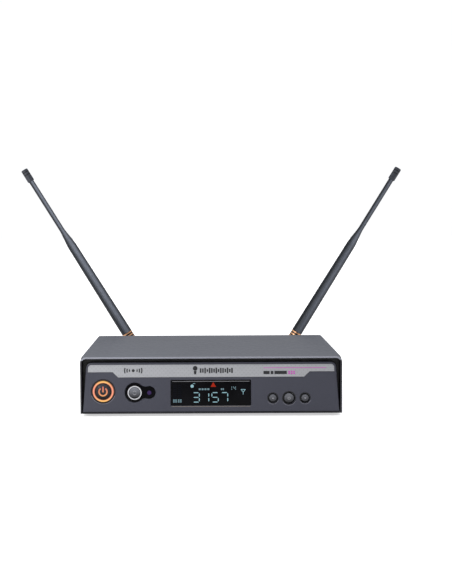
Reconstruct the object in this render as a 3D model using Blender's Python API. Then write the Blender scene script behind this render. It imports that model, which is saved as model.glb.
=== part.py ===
"""Half-width rack wireless microphone receiver with two elbow antennas.

Metres, +Z up. The front faces -Y, and the unit stands on its four feet at Z = 0.
Front parts are modelled in the frame of front_frame: x right, y up, z out towards
the user, with z = 0 at the front rim of the hood. Rear parts use rear_frame: x to
the right as seen from behind, y up, z outwards, with z = 0 on the rear wall.
"""

import math

import bmesh
import bpy
from mathutils import Matrix

# ---------------------------------------------------------------- driving dimensions
BODY_WIDTH = 0.210
BODY_HEIGHT = 0.0457
BODY_DEPTH = 0.160
FOOT_HEIGHT = 0.0025
FRONT_Y = -0.09906  # the hood's front rim; it puts the whole unit's box centre at Y = 0
GAP = 0.0003  # clearance between neighbouring pieces

BODY_BOTTOM = FOOT_HEIGHT
BODY_TOP = BODY_BOTTOM + BODY_HEIGHT
REAR_Y = FRONT_Y + BODY_DEPTH

# sheet metal
COVER_SHEET = 0.0014
COVER_BEND_R = 0.0020
COVER_FRONT_R = 0.0050  # the bends widen to this at the hood's rim
COVER_FLARE = 0.014
COVER_LIP_ROUND = 0.0006
COVER_SCREW_Z = BODY_BOTTOM + 0.007
COVER_SCREW_HEAD_R = 0.0026
CHASSIS_SHEET = 0.001
CHASSIS_HALF = BODY_WIDTH / 2 - COVER_SHEET - GAP
SIDE_FLANGE_TOP = BODY_BOTTOM + 0.012
FRONT_FLANGE_TOP = BODY_BOTTOM + 0.006
BOSS_RADIUS = 0.004

# front panel, in the front frame
PANEL_BACK = -0.012
GROOVE_FLOOR = -0.0085
PANEL_WALL = 0.003
PANEL_BOTTOM = BODY_BOTTOM + CHASSIS_SHEET + GAP
PANEL_LEAN = math.radians(4.5)
FACE_AT_BOTTOM = -0.0003
ISLAND_TOP = BODY_BOTTOM + 0.0409
ISLAND_HALF_BOTTOM = 0.1031
ISLAND_TAPER = 0.075
ISLAND_CORNER_R = 0.0045
PANEL_EDGE_ROUND = 0.0007
HOLE_CHAMFER = 0.0004

# label strip on the panel
LABEL_INSET = 0.0018
LABEL_END_BOTTOM = BODY_BOTTOM + 0.0333
LABEL_MID_BOTTOM = BODY_BOTTOM + 0.0291
LABEL_STEP_OUT = 0.0790
LABEL_STEP_IN = 0.0747
LABEL_THICK = 0.0005
LABEL_RECESS = 0.0009

# display
WINDOW_CENTRE = (-0.0002, BODY_BOTTOM + 0.0165)
WINDOW_WIDTH = 0.0646
WINDOW_HEIGHT = 0.0206
WINDOW_SETBACK = 0.0005
WINDOW_THICK = 0.0015
WINDOW_LEDGE = 0.002
WINDOW_RIM = 0.0015
WINDOW_EDGE_ROUND = 0.0004

# controls: (x, y) centres on the front face
POWER_XY = (-0.0867, BODY_BOTTOM + 0.0179)
POWER_RECESS_R = 0.0096
LIGHT_RING_R = 0.00845
LIGHT_RING_HOLE_R = 0.0067
POWER_CAP_R = 0.0062
POWER_TRAVEL = 0.002
SYNC_XY = (-0.0614, BODY_BOTTOM + 0.0169)
SYNC_LOBE_R = 0.0076
SYNC_TRIM_R = 0.0056
SYNC_CAP_R = 0.0045
TRIM_BACK = -0.0057
IR_XY = (-0.0497, BODY_BOTTOM + 0.0168)
IR_LOBE_R = 0.0048
IR_LED_R = 0.0015
KEY_TRAVEL = 0.0008
KEY_Y = BODY_BOTTOM + 0.0121
KEYS = {  # name: (x, cap radius, radius of the hole in the panel)
    "up": (0.0495, 0.0029, 0.0039),
    "set": (0.0624, 0.0038, 0.0049),
    "down": (0.0753, 0.0029, 0.0039),
}

# boards
BOARD_THICK = 0.0016
DISPLAY_BOARD_FACE = -0.016
DISPLAY_BOARD_HALF = 0.096
SWITCH_FACE = DISPLAY_BOARD_FACE + GAP
TACT_SIZE = 0.006
TACT_HEIGHT = 0.0035
TACT_PLUNGER = 0.0013
MAIN_BOARD_BOTTOM = 0.0085
MAIN_BOARD_TOP = MAIN_BOARD_BOTTOM + BOARD_THICK
MAIN_BOARD_HALF = 0.095
MAIN_BOARD_FRONT = FRONT_Y + 0.026
PART_BASE = MAIN_BOARD_TOP + GAP

# rear wall, world X and height of each connector
BNC_MIDDLE_X = 0.0022  # the pair of antennas stands a little right of centre
BNC_HALF_PITCH = 0.0679
BNC_Z = BODY_BOTTOM + 0.022
XLR_XZ = (0.028, BODY_BOTTOM + 0.0225)
PHONE_XZ = (-0.004, BODY_BOTTOM + 0.022)
LEVEL_XZ = (-0.032, BODY_BOTTOM + 0.022)
DC_XZ = (-0.092, BODY_BOTTOM + 0.0145)
XLR_SCREW = (0.0095, 0.012)
BNC_THREAD_R = 0.0048
XLR_BARREL_R = 0.0115
PHONE_NOSE_R = 0.0056
DC_NOSE_R = 0.0042
POT_BUSH_R = 0.0035

# antennas, measured along each rod from its elbow pin
ANTENNA_LEAN = math.radians(31.7)
ELBOW_OUT = 0.033
FOOT_START = 0.008
RINGS_START = 0.0188
SLEEVE_START = 0.0273
SLEEVE_END = 0.2063
SHOULDER_START = 0.126
SHOULDER_END = 0.1440
TIP_START = 0.1990
TIP_END = 0.2118
SLEEVE_R_LOW = 0.00515
SLEEVE_R_HIGH = 0.00435
WHIP_R = 0.0024
TIP_R = 0.0033
FERRULE_R = 0.00495
RING_R = 0.00515
PIN_R = 0.0012
FORK_R = 0.0052
TONGUE_HALF = 0.0017
SLOT_HALF = TONGUE_HALF + GAP

OVERSHOOT = 0.03  # how far a through cutter runs past the wall


# ------------------------------------------------------------------------- materials
def finish(name, colour, roughness, metallic=0.0):
    """A Principled material."""
    made = bpy.data.materials.new(name)
    made.use_nodes = True
    shader = made.node_tree.nodes["Principled BSDF"]
    shader.inputs["Base Color"].default_value = (*colour, 1.0)
    shader.inputs["Roughness"].default_value = roughness
    shader.inputs["Metallic"].default_value = metallic
    return made


def make_finishes():
    return {
        "case_paint": finish("case_paint", (0.085, 0.090, 0.107), 0.5, 0.2),
        "panel_grey": finish("panel_grey", (0.045, 0.046, 0.060), 0.42, 0.3),
        "label_silver": finish("label_silver", (0.34, 0.345, 0.37), 0.45, 0.4),
        "smoked_window": finish("smoked_window", (0.008, 0.008, 0.010), 0.1),
        "button_black": finish("button_black", (0.030, 0.030, 0.036), 0.3),
        "light_ring": finish("light_ring", (1.0, 0.50, 0.22), 0.35),
        "chrome": finish("chrome", (0.75, 0.75, 0.77), 0.12, 1.0),
        "nickel": finish("nickel", (0.55, 0.54, 0.52), 0.28, 1.0),
        "plated_steel": finish("plated_steel", (0.50, 0.50, 0.51), 0.35, 1.0),
        "antenna_rubber": finish("antenna_rubber", (0.035, 0.040, 0.047), 0.45),
        "ring_copper": finish("ring_copper", (0.70, 0.40, 0.22), 0.35, 0.6),
        "board_green": finish("board_green", (0.02, 0.14, 0.06), 0.5),
        "black_plastic": finish("black_plastic", (0.020, 0.020, 0.022), 0.5),
        "foot_rubber": finish("foot_rubber", (0.022, 0.022, 0.023), 0.85),
        "ir_emitter": finish("ir_emitter", (0.10, 0.06, 0.22), 0.2),
        "ribbon_grey": finish("ribbon_grey", (0.45, 0.45, 0.46), 0.6),
    }


# ------------------------------------------------------------------- shape functions
def turned(profile, steps=24):
    """A closed turned solid about z. The (radius, z) points run from the axis, round
    the section and back to the axis, or form a closed ring where none is on it."""
    shape = bmesh.new()
    verts = [shape.verts.new((r, 0, z)) for r, z in profile]
    edges = [shape.edges.new(pair) for pair in zip(verts, verts[1:])]
    if min(r for r, _ in profile) > 0:
        edges.append(shape.edges.new((verts[-1], verts[0])))
    bmesh.ops.spin(
        shape,
        geom=verts + edges,
        cent=(0, 0, 0),
        axis=(0, 0, 1),
        angle=math.tau,
        steps=steps,
        use_merge=True,
    )
    bmesh.ops.remove_doubles(shape, verts=shape.verts, dist=1e-6)
    bmesh.ops.recalc_face_normals(shape, faces=shape.faces)
    return shape


def rod(radius, low, high, steps=24):
    return turned([(0, low), (radius, low), (radius, high), (0, high)], steps)


def tube(outer, inner, low, high, steps=24):
    return turned([(inner, low), (outer, low), (outer, high), (inner, high)], steps)


def prism(outline, low, high):
    """An outline of (x, y) points extruded along z."""
    shape = bmesh.new()
    face = shape.faces.new([shape.verts.new((x, y, low)) for x, y in outline])
    grown = bmesh.ops.extrude_face_region(shape, geom=[face])["geom"]
    tops = [g for g in grown if isinstance(g, bmesh.types.BMVert)]
    bmesh.ops.translate(shape, verts=tops, vec=(0, 0, high - low))
    bmesh.ops.recalc_face_normals(shape, faces=shape.faces)
    return shape


def lofted(sections):
    """A body through (outline, z) sections, whose outlines have the same points."""
    shape = bmesh.new()
    rings = [[shape.verts.new((x, y, z)) for x, y in outline] for outline, z in sections]
    shape.faces.new(rings[0])
    shape.faces.new(rings[-1])
    for low, high in zip(rings, rings[1:]):
        for i in range(len(low)):
            shape.faces.new((low[i - 1], low[i], high[i], high[i - 1]))
    bmesh.ops.recalc_face_normals(shape, faces=shape.faces)
    return shape


def laid_along_x(shape):
    """Turns a body drawn in (x, y) and extruded along z, so that it is drawn in (y, z)
    and extruded along x."""
    swap = Matrix(((0, 0, 1, 0), (1, 0, 0, 0), (0, 1, 0, 0), (0, 0, 0, 1)))
    bmesh.ops.transform(shape, matrix=swap, verts=shape.verts)
    return shape


def block(low, high):
    """A box between two corners."""
    outline = [(low[0], low[1]), (high[0], low[1]), (high[0], high[1]), (low[0], high[1])]
    return prism(outline, low[2], high[2])


def round_front(shape, radius):
    """Rounds the sharp edges round a prism's front cap."""
    front = max(shape.faces, key=lambda face: face.calc_center_median().z)
    bmesh.ops.bevel(
        shape,
        geom=list(front.edges),
        offset=radius,
        segments=2,
        profile=0.5,
        affect="EDGES",
        clamp_overlap=True,
    )
    return shape


def moved(shape, x=0.0, y=0.0, z=0.0):
    bmesh.ops.translate(shape, verts=shape.verts, vec=(x, y, z))
    return shape


def turned_to(shape, axis):
    """Lays a shape's z axis along +y or +x."""
    turns = {"x": Matrix.Rotation(math.pi / 2, 3, "Y"), "y": Matrix.Rotation(-math.pi / 2, 3, "X")}
    bmesh.ops.rotate(shape, verts=shape.verts, cent=(0, 0, 0), matrix=turns[axis])
    return shape


def arc(centre, radius, start, end, steps):
    """Points round an arc, angles in degrees."""
    angles = [math.radians(start + (end - start) * i / steps) for i in range(steps + 1)]
    return [(centre[0] + radius * math.cos(a), centre[1] + radius * math.sin(a)) for a in angles]


def rounded_rectangle(width, height, radius, centre=(0.0, 0.0), steps=4):
    across, up = width / 2 - radius, height / 2 - radius
    corners = [(across, -up, -90), (across, up, 0), (-across, up, 90), (-across, -up, 180)]
    points = []
    for x, y, start in corners:
        points += arc((centre[0] + x, centre[1] + y), radius, start, start + 90, steps)
    return points


def arch(half, top, radius, bottom=BODY_BOTTOM, steps=6):
    """An open outline up one side, over rounded top corners and down the other."""
    left = arc((-half + radius, top - radius), radius, 180, 90, steps)
    right = arc((half - radius, top - radius), radius, 90, 0, steps)
    return [(-half, bottom), *left, *right, (half, bottom)]


# --------------------------------------------------------------------------- objects
def frame_empty(name, location, rotation, parent=None):
    empty = bpy.data.objects.new(name, None)
    bpy.context.scene.collection.objects.link(empty)
    empty.location = location
    empty.rotation_euler = rotation
    empty.parent = parent
    return empty


def add(name, shape, material, parent=None, location=(0, 0, 0), sharp=35):
    """Makes the object of a shape, smooth-shaded where its faces meet gently."""
    mesh = bpy.data.meshes.new(name)
    shape.to_mesh(mesh)
    shape.free()
    mesh.shade_smooth()
    mesh.set_sharp_from_angle(angle=math.radians(sharp))
    obj = bpy.data.objects.new(name, mesh)
    bpy.context.scene.collection.objects.link(obj)
    if material:
        mesh.materials.append(material)
    obj.parent = parent
    obj.location = location
    return obj


def combine(obj, shape, operation="DIFFERENCE"):
    """Cuts or joins a shape, given in the object's own frame, with a Boolean."""
    tool = add(f"{obj.name}_tool_{len(obj.modifiers)}", shape, None, obj)
    tool.hide_render = True
    tool.display_type = "WIRE"
    step = obj.modifiers.new(tool.name, "BOOLEAN")
    step.operation = operation
    step.object = tool
    step.solver = "EXACT"
    return obj


def cut(obj, *shapes):
    for shape in shapes:
        combine(obj, shape)
    return obj


def join(obj, *shapes):
    for shape in shapes:
        combine(obj, shape, "UNION")
    return obj


# ------------------------------------------------------------------------------ case
COVER_SCREW_PROFILE = [
    (0, -0.006),
    (0.0014, -0.006),
    (0.0014, -0.0012),
    (COVER_SCREW_HEAD_R, -0.0001),
    (0, -0.0001),
]
COUNTERSINK_PROFILE = [
    (0, -0.004),
    (0.0020, -0.004),
    (0.0020, -0.0009),
    (COVER_SCREW_HEAD_R + GAP, 0.0002),
    (COVER_SCREW_HEAD_R + GAP, 0.002),
    (0, 0.002),
]


def make_cover(mats):
    """A folded sheet over the top and both sides; its front end is the hood."""
    depths = [-BODY_DEPTH] + [COVER_FLARE * (step / 5 - 1) for step in range(6)]
    sheet = round_front(lofted([(cover_section(z), z) for z in depths]), COVER_LIP_ROUND)
    cover = add("top_cover", sheet, mats["case_paint"], bpy.data.objects["front_frame"])
    for side, y in cover_screw_places():
        sink = turned_to(turned(COUNTERSINK_PROFILE, 16), "x")
        if side < 0:
            half_turn = Matrix.Rotation(math.pi, 3, "Y")
            bmesh.ops.rotate(sink, verts=sink.verts, cent=(0, 0, 0), matrix=half_turn)
        cut(cover, moved(sink, side * BODY_WIDTH / 2, COVER_SCREW_Z, FRONT_Y - y))


def cover_bend(z):
    """Outer radius of the cover's two bends at z in the front frame."""
    share = max(0.0, 1 + z / COVER_FLARE)
    return COVER_BEND_R + (COVER_FRONT_R - COVER_BEND_R) * share * share


def cover_section(z):
    """The sheet's outline at z: up, over and down outside, and back inside."""
    radius = cover_bend(z)
    inner_half, inner_top = BODY_WIDTH / 2 - COVER_SHEET, BODY_TOP - COVER_SHEET
    inner = arch(inner_half, inner_top, radius - COVER_SHEET)
    return arch(BODY_WIDTH / 2, BODY_TOP, radius) + inner[::-1]


def cover_screw_places():
    """(side, world Y) of the four screws that hold the cover to the side flanges."""
    return [(side, y) for side in (-1, 1) for y in (FRONT_Y + 0.040, REAR_Y - 0.025)]


def make_cover_screws(mats):
    for index, (side, y) in enumerate(cover_screw_places(), 1):
        screw = add(f"cover_screw_{index}", turned(COVER_SCREW_PROFILE, 16), mats["plated_steel"])
        screw.location = (side * BODY_WIDTH / 2, y, COVER_SCREW_Z)
        screw.rotation_euler = (0, side * math.pi / 2, 0)
        cut(screw, *cross_recess(0.0017, -0.0001))


def cross_recess(reach, top):
    """The two bars of a cross recess, 0.7 mm deep."""
    half = 0.00035
    return (
        block((-reach, -half, top - 0.0007), (reach, half, top + 0.001)),
        block((-half, -reach, top - 0.0007), (half, reach, top + 0.001)),
    )


def make_chassis(mats):
    """Floor, rear wall and flanges of one folded sheet, with bosses for the board. The
    floor runs on under the front panel, where its edge shows."""
    front = FRONT_Y - PANEL_BACK + GAP
    length = REAR_Y - front
    outline = arch(CHASSIS_HALF, BODY_TOP - COVER_SHEET - GAP, COVER_BEND_R - COVER_SHEET)
    shell = prism(outline, -length, 0)
    chassis = add("chassis", shell, mats["case_paint"], bpy.data.objects["rear_frame"])
    inner = CHASSIS_HALF - CHASSIS_SHEET
    floor = BODY_BOTTOM + CHASSIS_SHEET
    high = BODY_TOP + OVERSHOOT
    cut(
        chassis,
        block((-inner, floor, CHASSIS_SHEET - length), (inner, high, -CHASSIS_SHEET)),
        block((-1, SIDE_FLANGE_TOP, -length - 1), (1, high, -CHASSIS_SHEET)),
        block((-1, FRONT_FLANGE_TOP, -length - 1), (1, high, 0.008 - length)),
    )
    tongue_front = -BODY_DEPTH + 0.0004
    tongue = block((-CHASSIS_HALF, BODY_BOTTOM, tongue_front), (CHASSIS_HALF, floor, 0.001 - length))
    join(chassis, tongue)
    for x, y in foot_places():
        hole = rod(0.0023, BODY_BOTTOM - 0.002, floor + 0.002, 12)
        cut(chassis, in_rear_frame(hole, x, y))
    for x, y, screwed in boss_places():
        boss = rod(BOSS_RADIUS, floor - 0.0005, MAIN_BOARD_BOTTOM - GAP, 16)
        join(chassis, in_rear_frame(boss, x, y))
        if screwed:
            cut(chassis, in_rear_frame(rod(0.0017, floor + 0.0001, 0.02, 12), x, y))
    for side, y in cover_screw_places():
        hole = turned_to(rod(0.0018, -0.003, 0.003, 12), "x")
        cut(chassis, moved(hole, -side * CHASSIS_HALF, COVER_SCREW_Z, y - REAR_Y))
    for x, z, radius, steps in rear_holes():
        cut(chassis, moved(rod(radius, -0.003, 0.003, steps), -x, z))


def bnc_x(side):
    """World X of an antenna socket."""
    return BNC_MIDDLE_X + side * BNC_HALF_PITCH


def rear_holes():
    """(world X, height, radius, steps) of the round holes in the rear wall."""
    holes = [(bnc_x(side), BNC_Z, BNC_THREAD_R + GAP, 20) for side in (-1, 1)]
    holes += [
        (*XLR_XZ, XLR_BARREL_R + 2 * GAP, 32),
        (*PHONE_XZ, PHONE_NOSE_R + GAP, 20),
        (*LEVEL_XZ, POT_BUSH_R + GAP, 16),
        (*DC_XZ, DC_NOSE_R + GAP, 20),
    ]
    for sign in (-1, 1):
        holes.append((XLR_XZ[0] + sign * XLR_SCREW[0], XLR_XZ[1] + sign * XLR_SCREW[1], 0.0017, 12))
    return holes


def in_rear_frame(shape, x, y):
    """Stands a shape made along z upright at world (x, y), in the rear frame."""
    upright = Matrix.Rotation(-math.pi / 2, 3, "X")
    bmesh.ops.rotate(shape, verts=shape.verts, cent=(0, 0, 0), matrix=upright)
    return moved(shape, -x, 0, y - REAR_Y)


def foot_places():
    return [(x, y) for x in (-0.086, 0.086) for y in (FRONT_Y + 0.034, REAR_Y - 0.022)]


def boss_places():
    """(world X, world Y, has a screw). The rear bosses only support the board."""
    return [(x, y, y < 0) for x in (-0.080, 0.080) for y in (FRONT_Y + 0.050, REAR_Y - 0.050)]


def make_feet(mats):
    profile = [
        (0, 0),
        (0.0052, 0),
        (0.0060, 0.0006),
        (0.0065, FOOT_HEIGHT - GAP),
        (0.0020, FOOT_HEIGHT - GAP),
        (0.0020, FOOT_HEIGHT + CHASSIS_SHEET + GAP),
        (0.0024, FOOT_HEIGHT + CHASSIS_SHEET + GAP + 0.0004),
        (0, FOOT_HEIGHT + CHASSIS_SHEET + GAP + 0.0015),
    ]
    for index, (x, y) in enumerate(foot_places(), 1):
        add(f"foot_{index}", turned(profile, 20), mats["foot_rubber"], None, (x, y, 0))


# ----------------------------------------------------------------------- front panel
def face_z(y):
    """z of the leaning panel face at height y, in the front frame."""
    return FACE_AT_BOTTOM - math.tan(PANEL_LEAN) * (y - BODY_BOTTOM)


def leaning(outline, depths):
    """A prism of an outline whose (low, high) caps lie where depths puts them: each
    cap is given by a function from its height y to its z."""
    shape = prism(outline, 0, 1)
    for vert in shape.verts:
        vert.co.z = depths[vert.co.z > 0.5](vert.co.y)
    return shape


def behind_face(depth):
    return lambda y: face_z(y) - depth


def flat_at(z):
    return lambda y: z


def leaning_plate(outline, setback, thickness):
    """A plate of even thickness, a distance behind the leaning face."""
    return leaning(outline, (behind_face(setback + thickness), behind_face(setback)))


def leaning_cutter(outline, depth):
    """A cutter from a depth behind the leaning face to well in front of it."""
    return leaning(outline, (behind_face(depth), flat_at(0.01)))


def chamfer_cutter(outline_at):
    """Chamfers the edge of a hole in the leaning face at 45 degrees. outline_at(grow)
    gives the hole's outline grown by that much. The cutter starts inside the hole."""
    shape = bmesh.new()
    size, inside = HOLE_CHAMFER, 0.0002
    low_depth = size + inside
    low = [shape.verts.new((x, y, face_z(y) - low_depth)) for x, y in outline_at(-inside)]
    high = [shape.verts.new((x, y, face_z(y) + size)) for x, y in outline_at(2 * size)]
    shape.faces.new(low)
    shape.faces.new(high)
    for i in range(len(low)):
        shape.faces.new((low[i - 1], low[i], high[i], high[i - 1]))
    bmesh.ops.recalc_face_normals(shape, faces=shape.faces)
    return shape


def circle_at(centre, radius, steps):
    """The outline of a round hole as a function of how much it is grown."""
    return lambda grow: arc(centre, radius + grow, 0, 360, steps)[:-1]


def island_outline(inset=0.0, steps=6):
    """The raised face: narrower towards the top, with rounded top corners."""
    bottom, top = PANEL_BOTTOM + inset, ISLAND_TOP - inset
    radius = max(ISLAND_CORNER_R - inset, 0.0005)
    low = ISLAND_HALF_BOTTOM - inset
    high = low - ISLAND_TAPER * (top - radius - bottom)
    lean = math.degrees(math.atan(ISLAND_TAPER))
    centre = high - radius * math.cos(math.radians(lean))
    right = arc((centre, top - radius), radius, lean, 90, steps)
    left = [(-x, y) for x, y in right]
    return [(low, bottom), *right, *left[::-1], (-low, bottom)]


def label_outline(grow=0.0):
    """The island's outline above a lower edge that steps up towards both ends."""
    ends, middle = LABEL_END_BOTTOM - grow, LABEL_MID_BOTTOM - grow
    upper = [p for p in island_outline(LABEL_INSET - grow) if p[1] > ends]
    reach = ISLAND_HALF_BOTTOM - LABEL_INSET + grow - ISLAND_TAPER * (ends - PANEL_BOTTOM)
    lower = [
        (-reach, ends),
        (-LABEL_STEP_OUT, ends),
        (-LABEL_STEP_IN, middle),
        (LABEL_STEP_IN, middle),
        (LABEL_STEP_OUT, ends),
        (reach, ends),
    ]
    return upper + lower


def keyhole_outline(grow=0.0):
    """A large and a small circle in line, joined by a waist with rounded sides."""
    large, small = SYNC_LOBE_R + grow, IR_LOBE_R + grow
    across = IR_XY[0] - SYNC_XY[0]
    fillet = 0.005
    # centre of the concave fillet that touches both circles
    a, b = large + fillet, small + fillet
    along = (a * a - b * b + across * across) / (2 * across)
    up = math.sqrt(a * a - along * along)
    from_large = math.degrees(math.atan2(up, along))
    from_small = math.degrees(math.atan2(up, along - across))
    points = arc((0, 0), large, from_large, 360 - from_large, 20)
    points += arc((along, -up), fillet, 180 - from_large, 180 - from_small, 4)[1:-1]
    points += arc((across, 0), small, -from_small, from_small, 12)
    points += arc((along, up), fillet, 180 + from_small, 180 + from_large, 4)[1:-1]
    return [(x + SYNC_XY[0], y + SYNC_XY[1]) for x, y in points]


def window_outline(inset):
    size = (WINDOW_WIDTH - 2 * inset, WINDOW_HEIGHT - 2 * inset)
    return rounded_rectangle(*size, 0.0006, WINDOW_CENTRE, 2)


def make_front_panel(mats):
    """A moulding: a raised leaning face on a base that fills the hood behind it."""
    front = bpy.data.objects["front_frame"]
    island = leaning(island_outline(), (flat_at(PANEL_BACK), behind_face(0)))
    island = round_front(island, PANEL_EDGE_ROUND)
    panel = add("front_panel", island, mats["panel_grey"], front)
    top = BODY_TOP - COVER_SHEET - GAP
    base = arch(CHASSIS_HALF, top, cover_bend(GROOVE_FLOOR) - COVER_SHEET, PANEL_BOTTOM)
    join(panel, prism(base, PANEL_BACK + 0.0004, GROOVE_FLOOR))
    lens = window_outline(0)
    sight = window_outline(WINDOW_RIM)
    cut(
        panel,
        leaning(island_outline(PANEL_WALL), (flat_at(PANEL_BACK - 0.01), behind_face(PANEL_WALL))),
        leaning_cutter(label_outline(0.0002), LABEL_RECESS),
        leaning_cutter(lens, WINDOW_LEDGE + GAP),
        prism(sight, -0.02, 0.01),
        prism(keyhole_outline(GAP), -0.02, 0.01),
        moved(rod(POWER_RECESS_R, face_z(POWER_XY[1]) - 0.0012, 0.01, 32), *POWER_XY),
        moved(rod(LIGHT_RING_R + GAP, -0.02, 0.01, 32), *POWER_XY),
        chamfer_cutter(lambda grow: window_outline(-grow)),
        chamfer_cutter(lambda grow: keyhole_outline(GAP + grow)),
        chamfer_cutter(circle_at(POWER_XY, POWER_RECESS_R, 32)),
    )
    for x, _, hole_r in KEYS.values():
        cut(panel, moved(rod(hole_r, -0.02, 0.01, 20), x, KEY_Y))
        cut(panel, chamfer_cutter(circle_at((x, KEY_Y), hole_r, 20)))


IR_LED_PROFILE = [
    (0, SWITCH_FACE),
    (0.0019, SWITCH_FACE),
    (0.0019, -0.0112),
    (IR_LED_R, -0.0112),
    (IR_LED_R, -0.0065),
    (0.0009, -0.0054),
    (0, -0.0051),
]


def make_face_trim(mats):
    front = bpy.data.objects["front_frame"]
    strip = leaning_plate(label_outline(), 0.0001, LABEL_THICK)
    add("label_strip", strip, mats["label_silver"], front)
    lens = leaning_plate(window_outline(GAP), WINDOW_SETBACK, WINDOW_THICK)
    round_front(lens, WINDOW_EDGE_ROUND)
    add("display_window", lens, mats["smoked_window"], front)
    keyhole = leaning_plate(keyhole_outline(), 0.0004, 0.0024)
    insert = add("ir_window", keyhole, mats["smoked_window"], front)
    cut(insert, moved(rod(SYNC_TRIM_R + GAP, -0.02, 0.01, 28), *SYNC_XY))
    ring_top = face_z(POWER_XY[1]) + 0.0003
    ring = tube(LIGHT_RING_R, LIGHT_RING_HOLE_R, SWITCH_FACE, ring_top, 32)
    add("power_light_ring", ring, mats["light_ring"], front, (*POWER_XY, 0))
    add("ir_led", turned(IR_LED_PROFILE, 16), mats["ir_emitter"], front, (*IR_XY, 0))


def button_profile(radius, top, dome, flange, stem_end):
    """Domed cap, retaining flange behind the panel, and a stem towards its switch."""
    flange_r, flange_top = flange
    return [
        (0, stem_end),
        (0.0016, stem_end),
        (0.0016, flange_top - 0.001),
        (flange_r, flange_top - 0.001),
        (flange_r, flange_top),
        (radius, flange_top),
        (radius, top - dome),
        (radius * 0.94, top - dome * 0.55),
        (radius * 0.70, top - dome * 0.18),
        (0, top),
    ]


def make_buttons(mats):
    """Each cap has its origin on its own axis and slides along it."""
    front = bpy.data.objects["front_frame"]
    tact_tip = SWITCH_FACE + TACT_HEIGHT + TACT_PLUNGER
    key_stem = tact_tip + KEY_TRAVEL + GAP
    for name, (x, radius, hole_r) in KEYS.items():
        face = face_z(KEY_Y)
        flange = (hole_r + 0.0007, face - PANEL_WALL - 0.0009)
        profile = button_profile(radius, face + 0.0013, 0.0008, flange, key_stem)
        add(f"{name}_button", turned(profile, 20), mats["button_black"], front, (x, KEY_Y, 0))
    sync_face = face_z(SYNC_XY[1])
    flange = (SYNC_TRIM_R + 0.0006, TRIM_BACK - GAP)
    profile = button_profile(SYNC_CAP_R, sync_face + 0.0013, 0.0006, flange, key_stem)
    add("sync_button", turned(profile, 24), mats["button_black"], front, (*SYNC_XY, 0))
    trim = tube(SYNC_TRIM_R, SYNC_CAP_R + GAP, TRIM_BACK, sync_face + 0.0011, 28)
    add("sync_button_trim", trim, mats["chrome"], front, (*SYNC_XY, 0))
    power_face = face_z(POWER_XY[1])
    stem = SWITCH_FACE + 0.0055 + POWER_TRAVEL + GAP
    profile = [
        (0, stem),
        (0.0020, stem),
        (0.0020, stem + 0.001),
        (POWER_CAP_R, stem + 0.001),
        (POWER_CAP_R, power_face + 0.0004),
        (POWER_CAP_R * 0.95, power_face + 0.0008),
        (POWER_CAP_R * 0.70, power_face + 0.0013),
        (0, power_face + 0.0016),
    ]
    add("power_button", turned(profile, 28), mats["button_black"], front, (*POWER_XY, 0))


def make_switches(mats):
    front = bpy.data.objects["front_frame"]
    places = {name: (x, KEY_Y) for name, (x, _, _) in KEYS.items()}
    places["sync"] = SYNC_XY
    half = TACT_SIZE / 2
    for name, (x, y) in places.items():
        body = block((-half, -half, SWITCH_FACE), (half, half, SWITCH_FACE + TACT_HEIGHT))
        switch = add(f"{name}_switch", body, mats["black_plastic"], front, (x, y, 0))
        join(switch, rod(0.00175, SWITCH_FACE + 0.001, SWITCH_FACE + TACT_HEIGHT + TACT_PLUNGER, 12))
    body = block((-0.004, -0.004, SWITCH_FACE), (0.004, 0.004, SWITCH_FACE + 0.0040))
    switch = add("power_switch", body, mats["black_plastic"], front, (*POWER_XY, 0))
    join(switch, rod(0.0015, SWITCH_FACE + 0.001, SWITCH_FACE + 0.0055, 12))


# ---------------------------------------------------------------------------- boards
def make_boards(mats):
    front = bpy.data.objects["front_frame"]
    low = (-DISPLAY_BOARD_HALF, 0.0095, DISPLAY_BOARD_FACE - BOARD_THICK)
    high = (DISPLAY_BOARD_HALF, 0.0425, DISPLAY_BOARD_FACE)
    add("display_board", block(low, high), mats["board_green"], front)
    lcd_half = (WINDOW_WIDTH / 2 - 0.001, WINDOW_HEIGHT / 2 - 0.0012)
    lcd = block(
        (-lcd_half[0], WINDOW_CENTRE[1] - lcd_half[1], SWITCH_FACE),
        (lcd_half[0], WINDOW_CENTRE[1] + lcd_half[1], -0.0062),
    )
    add("lcd_module", lcd, mats["black_plastic"], front)
    low = (-MAIN_BOARD_HALF, MAIN_BOARD_FRONT, MAIN_BOARD_BOTTOM)
    high = (MAIN_BOARD_HALF, REAR_Y - 0.003, MAIN_BOARD_TOP)
    board = add("main_board", block(low, high), mats["board_green"])
    screw_profile = [
        (0, BODY_BOTTOM + 0.0014),
        (0.0013, BODY_BOTTOM + 0.0014),
        (0.0013, MAIN_BOARD_TOP + GAP),
        (0.0028, MAIN_BOARD_TOP + GAP),
        (0.0026, MAIN_BOARD_TOP + 0.0018),
        (0, MAIN_BOARD_TOP + 0.0022),
    ]
    for index, (x, y) in enumerate([p[:2] for p in boss_places() if p[2]], 1):
        cut(board, moved(rod(0.0017, 0, 0.02, 12), x, y))
        name = f"main_board_screw_{index}"
        screw = add(name, turned(screw_profile, 16), mats["plated_steel"], None, (x, y, 0))
        cut(screw, *cross_recess(0.0016, MAIN_BOARD_TOP + 0.0022))
    for name, side in (("left", -1), ("right", 1)):
        low = (side * 0.066 - 0.020, REAR_Y - 0.062, PART_BASE)
        high = (side * 0.066 + 0.020, REAR_Y - 0.024, PART_BASE + 0.009)
        add(f"tuner_can_{name}", block(low, high), mats["nickel"])
    make_ribbon(mats)


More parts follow.
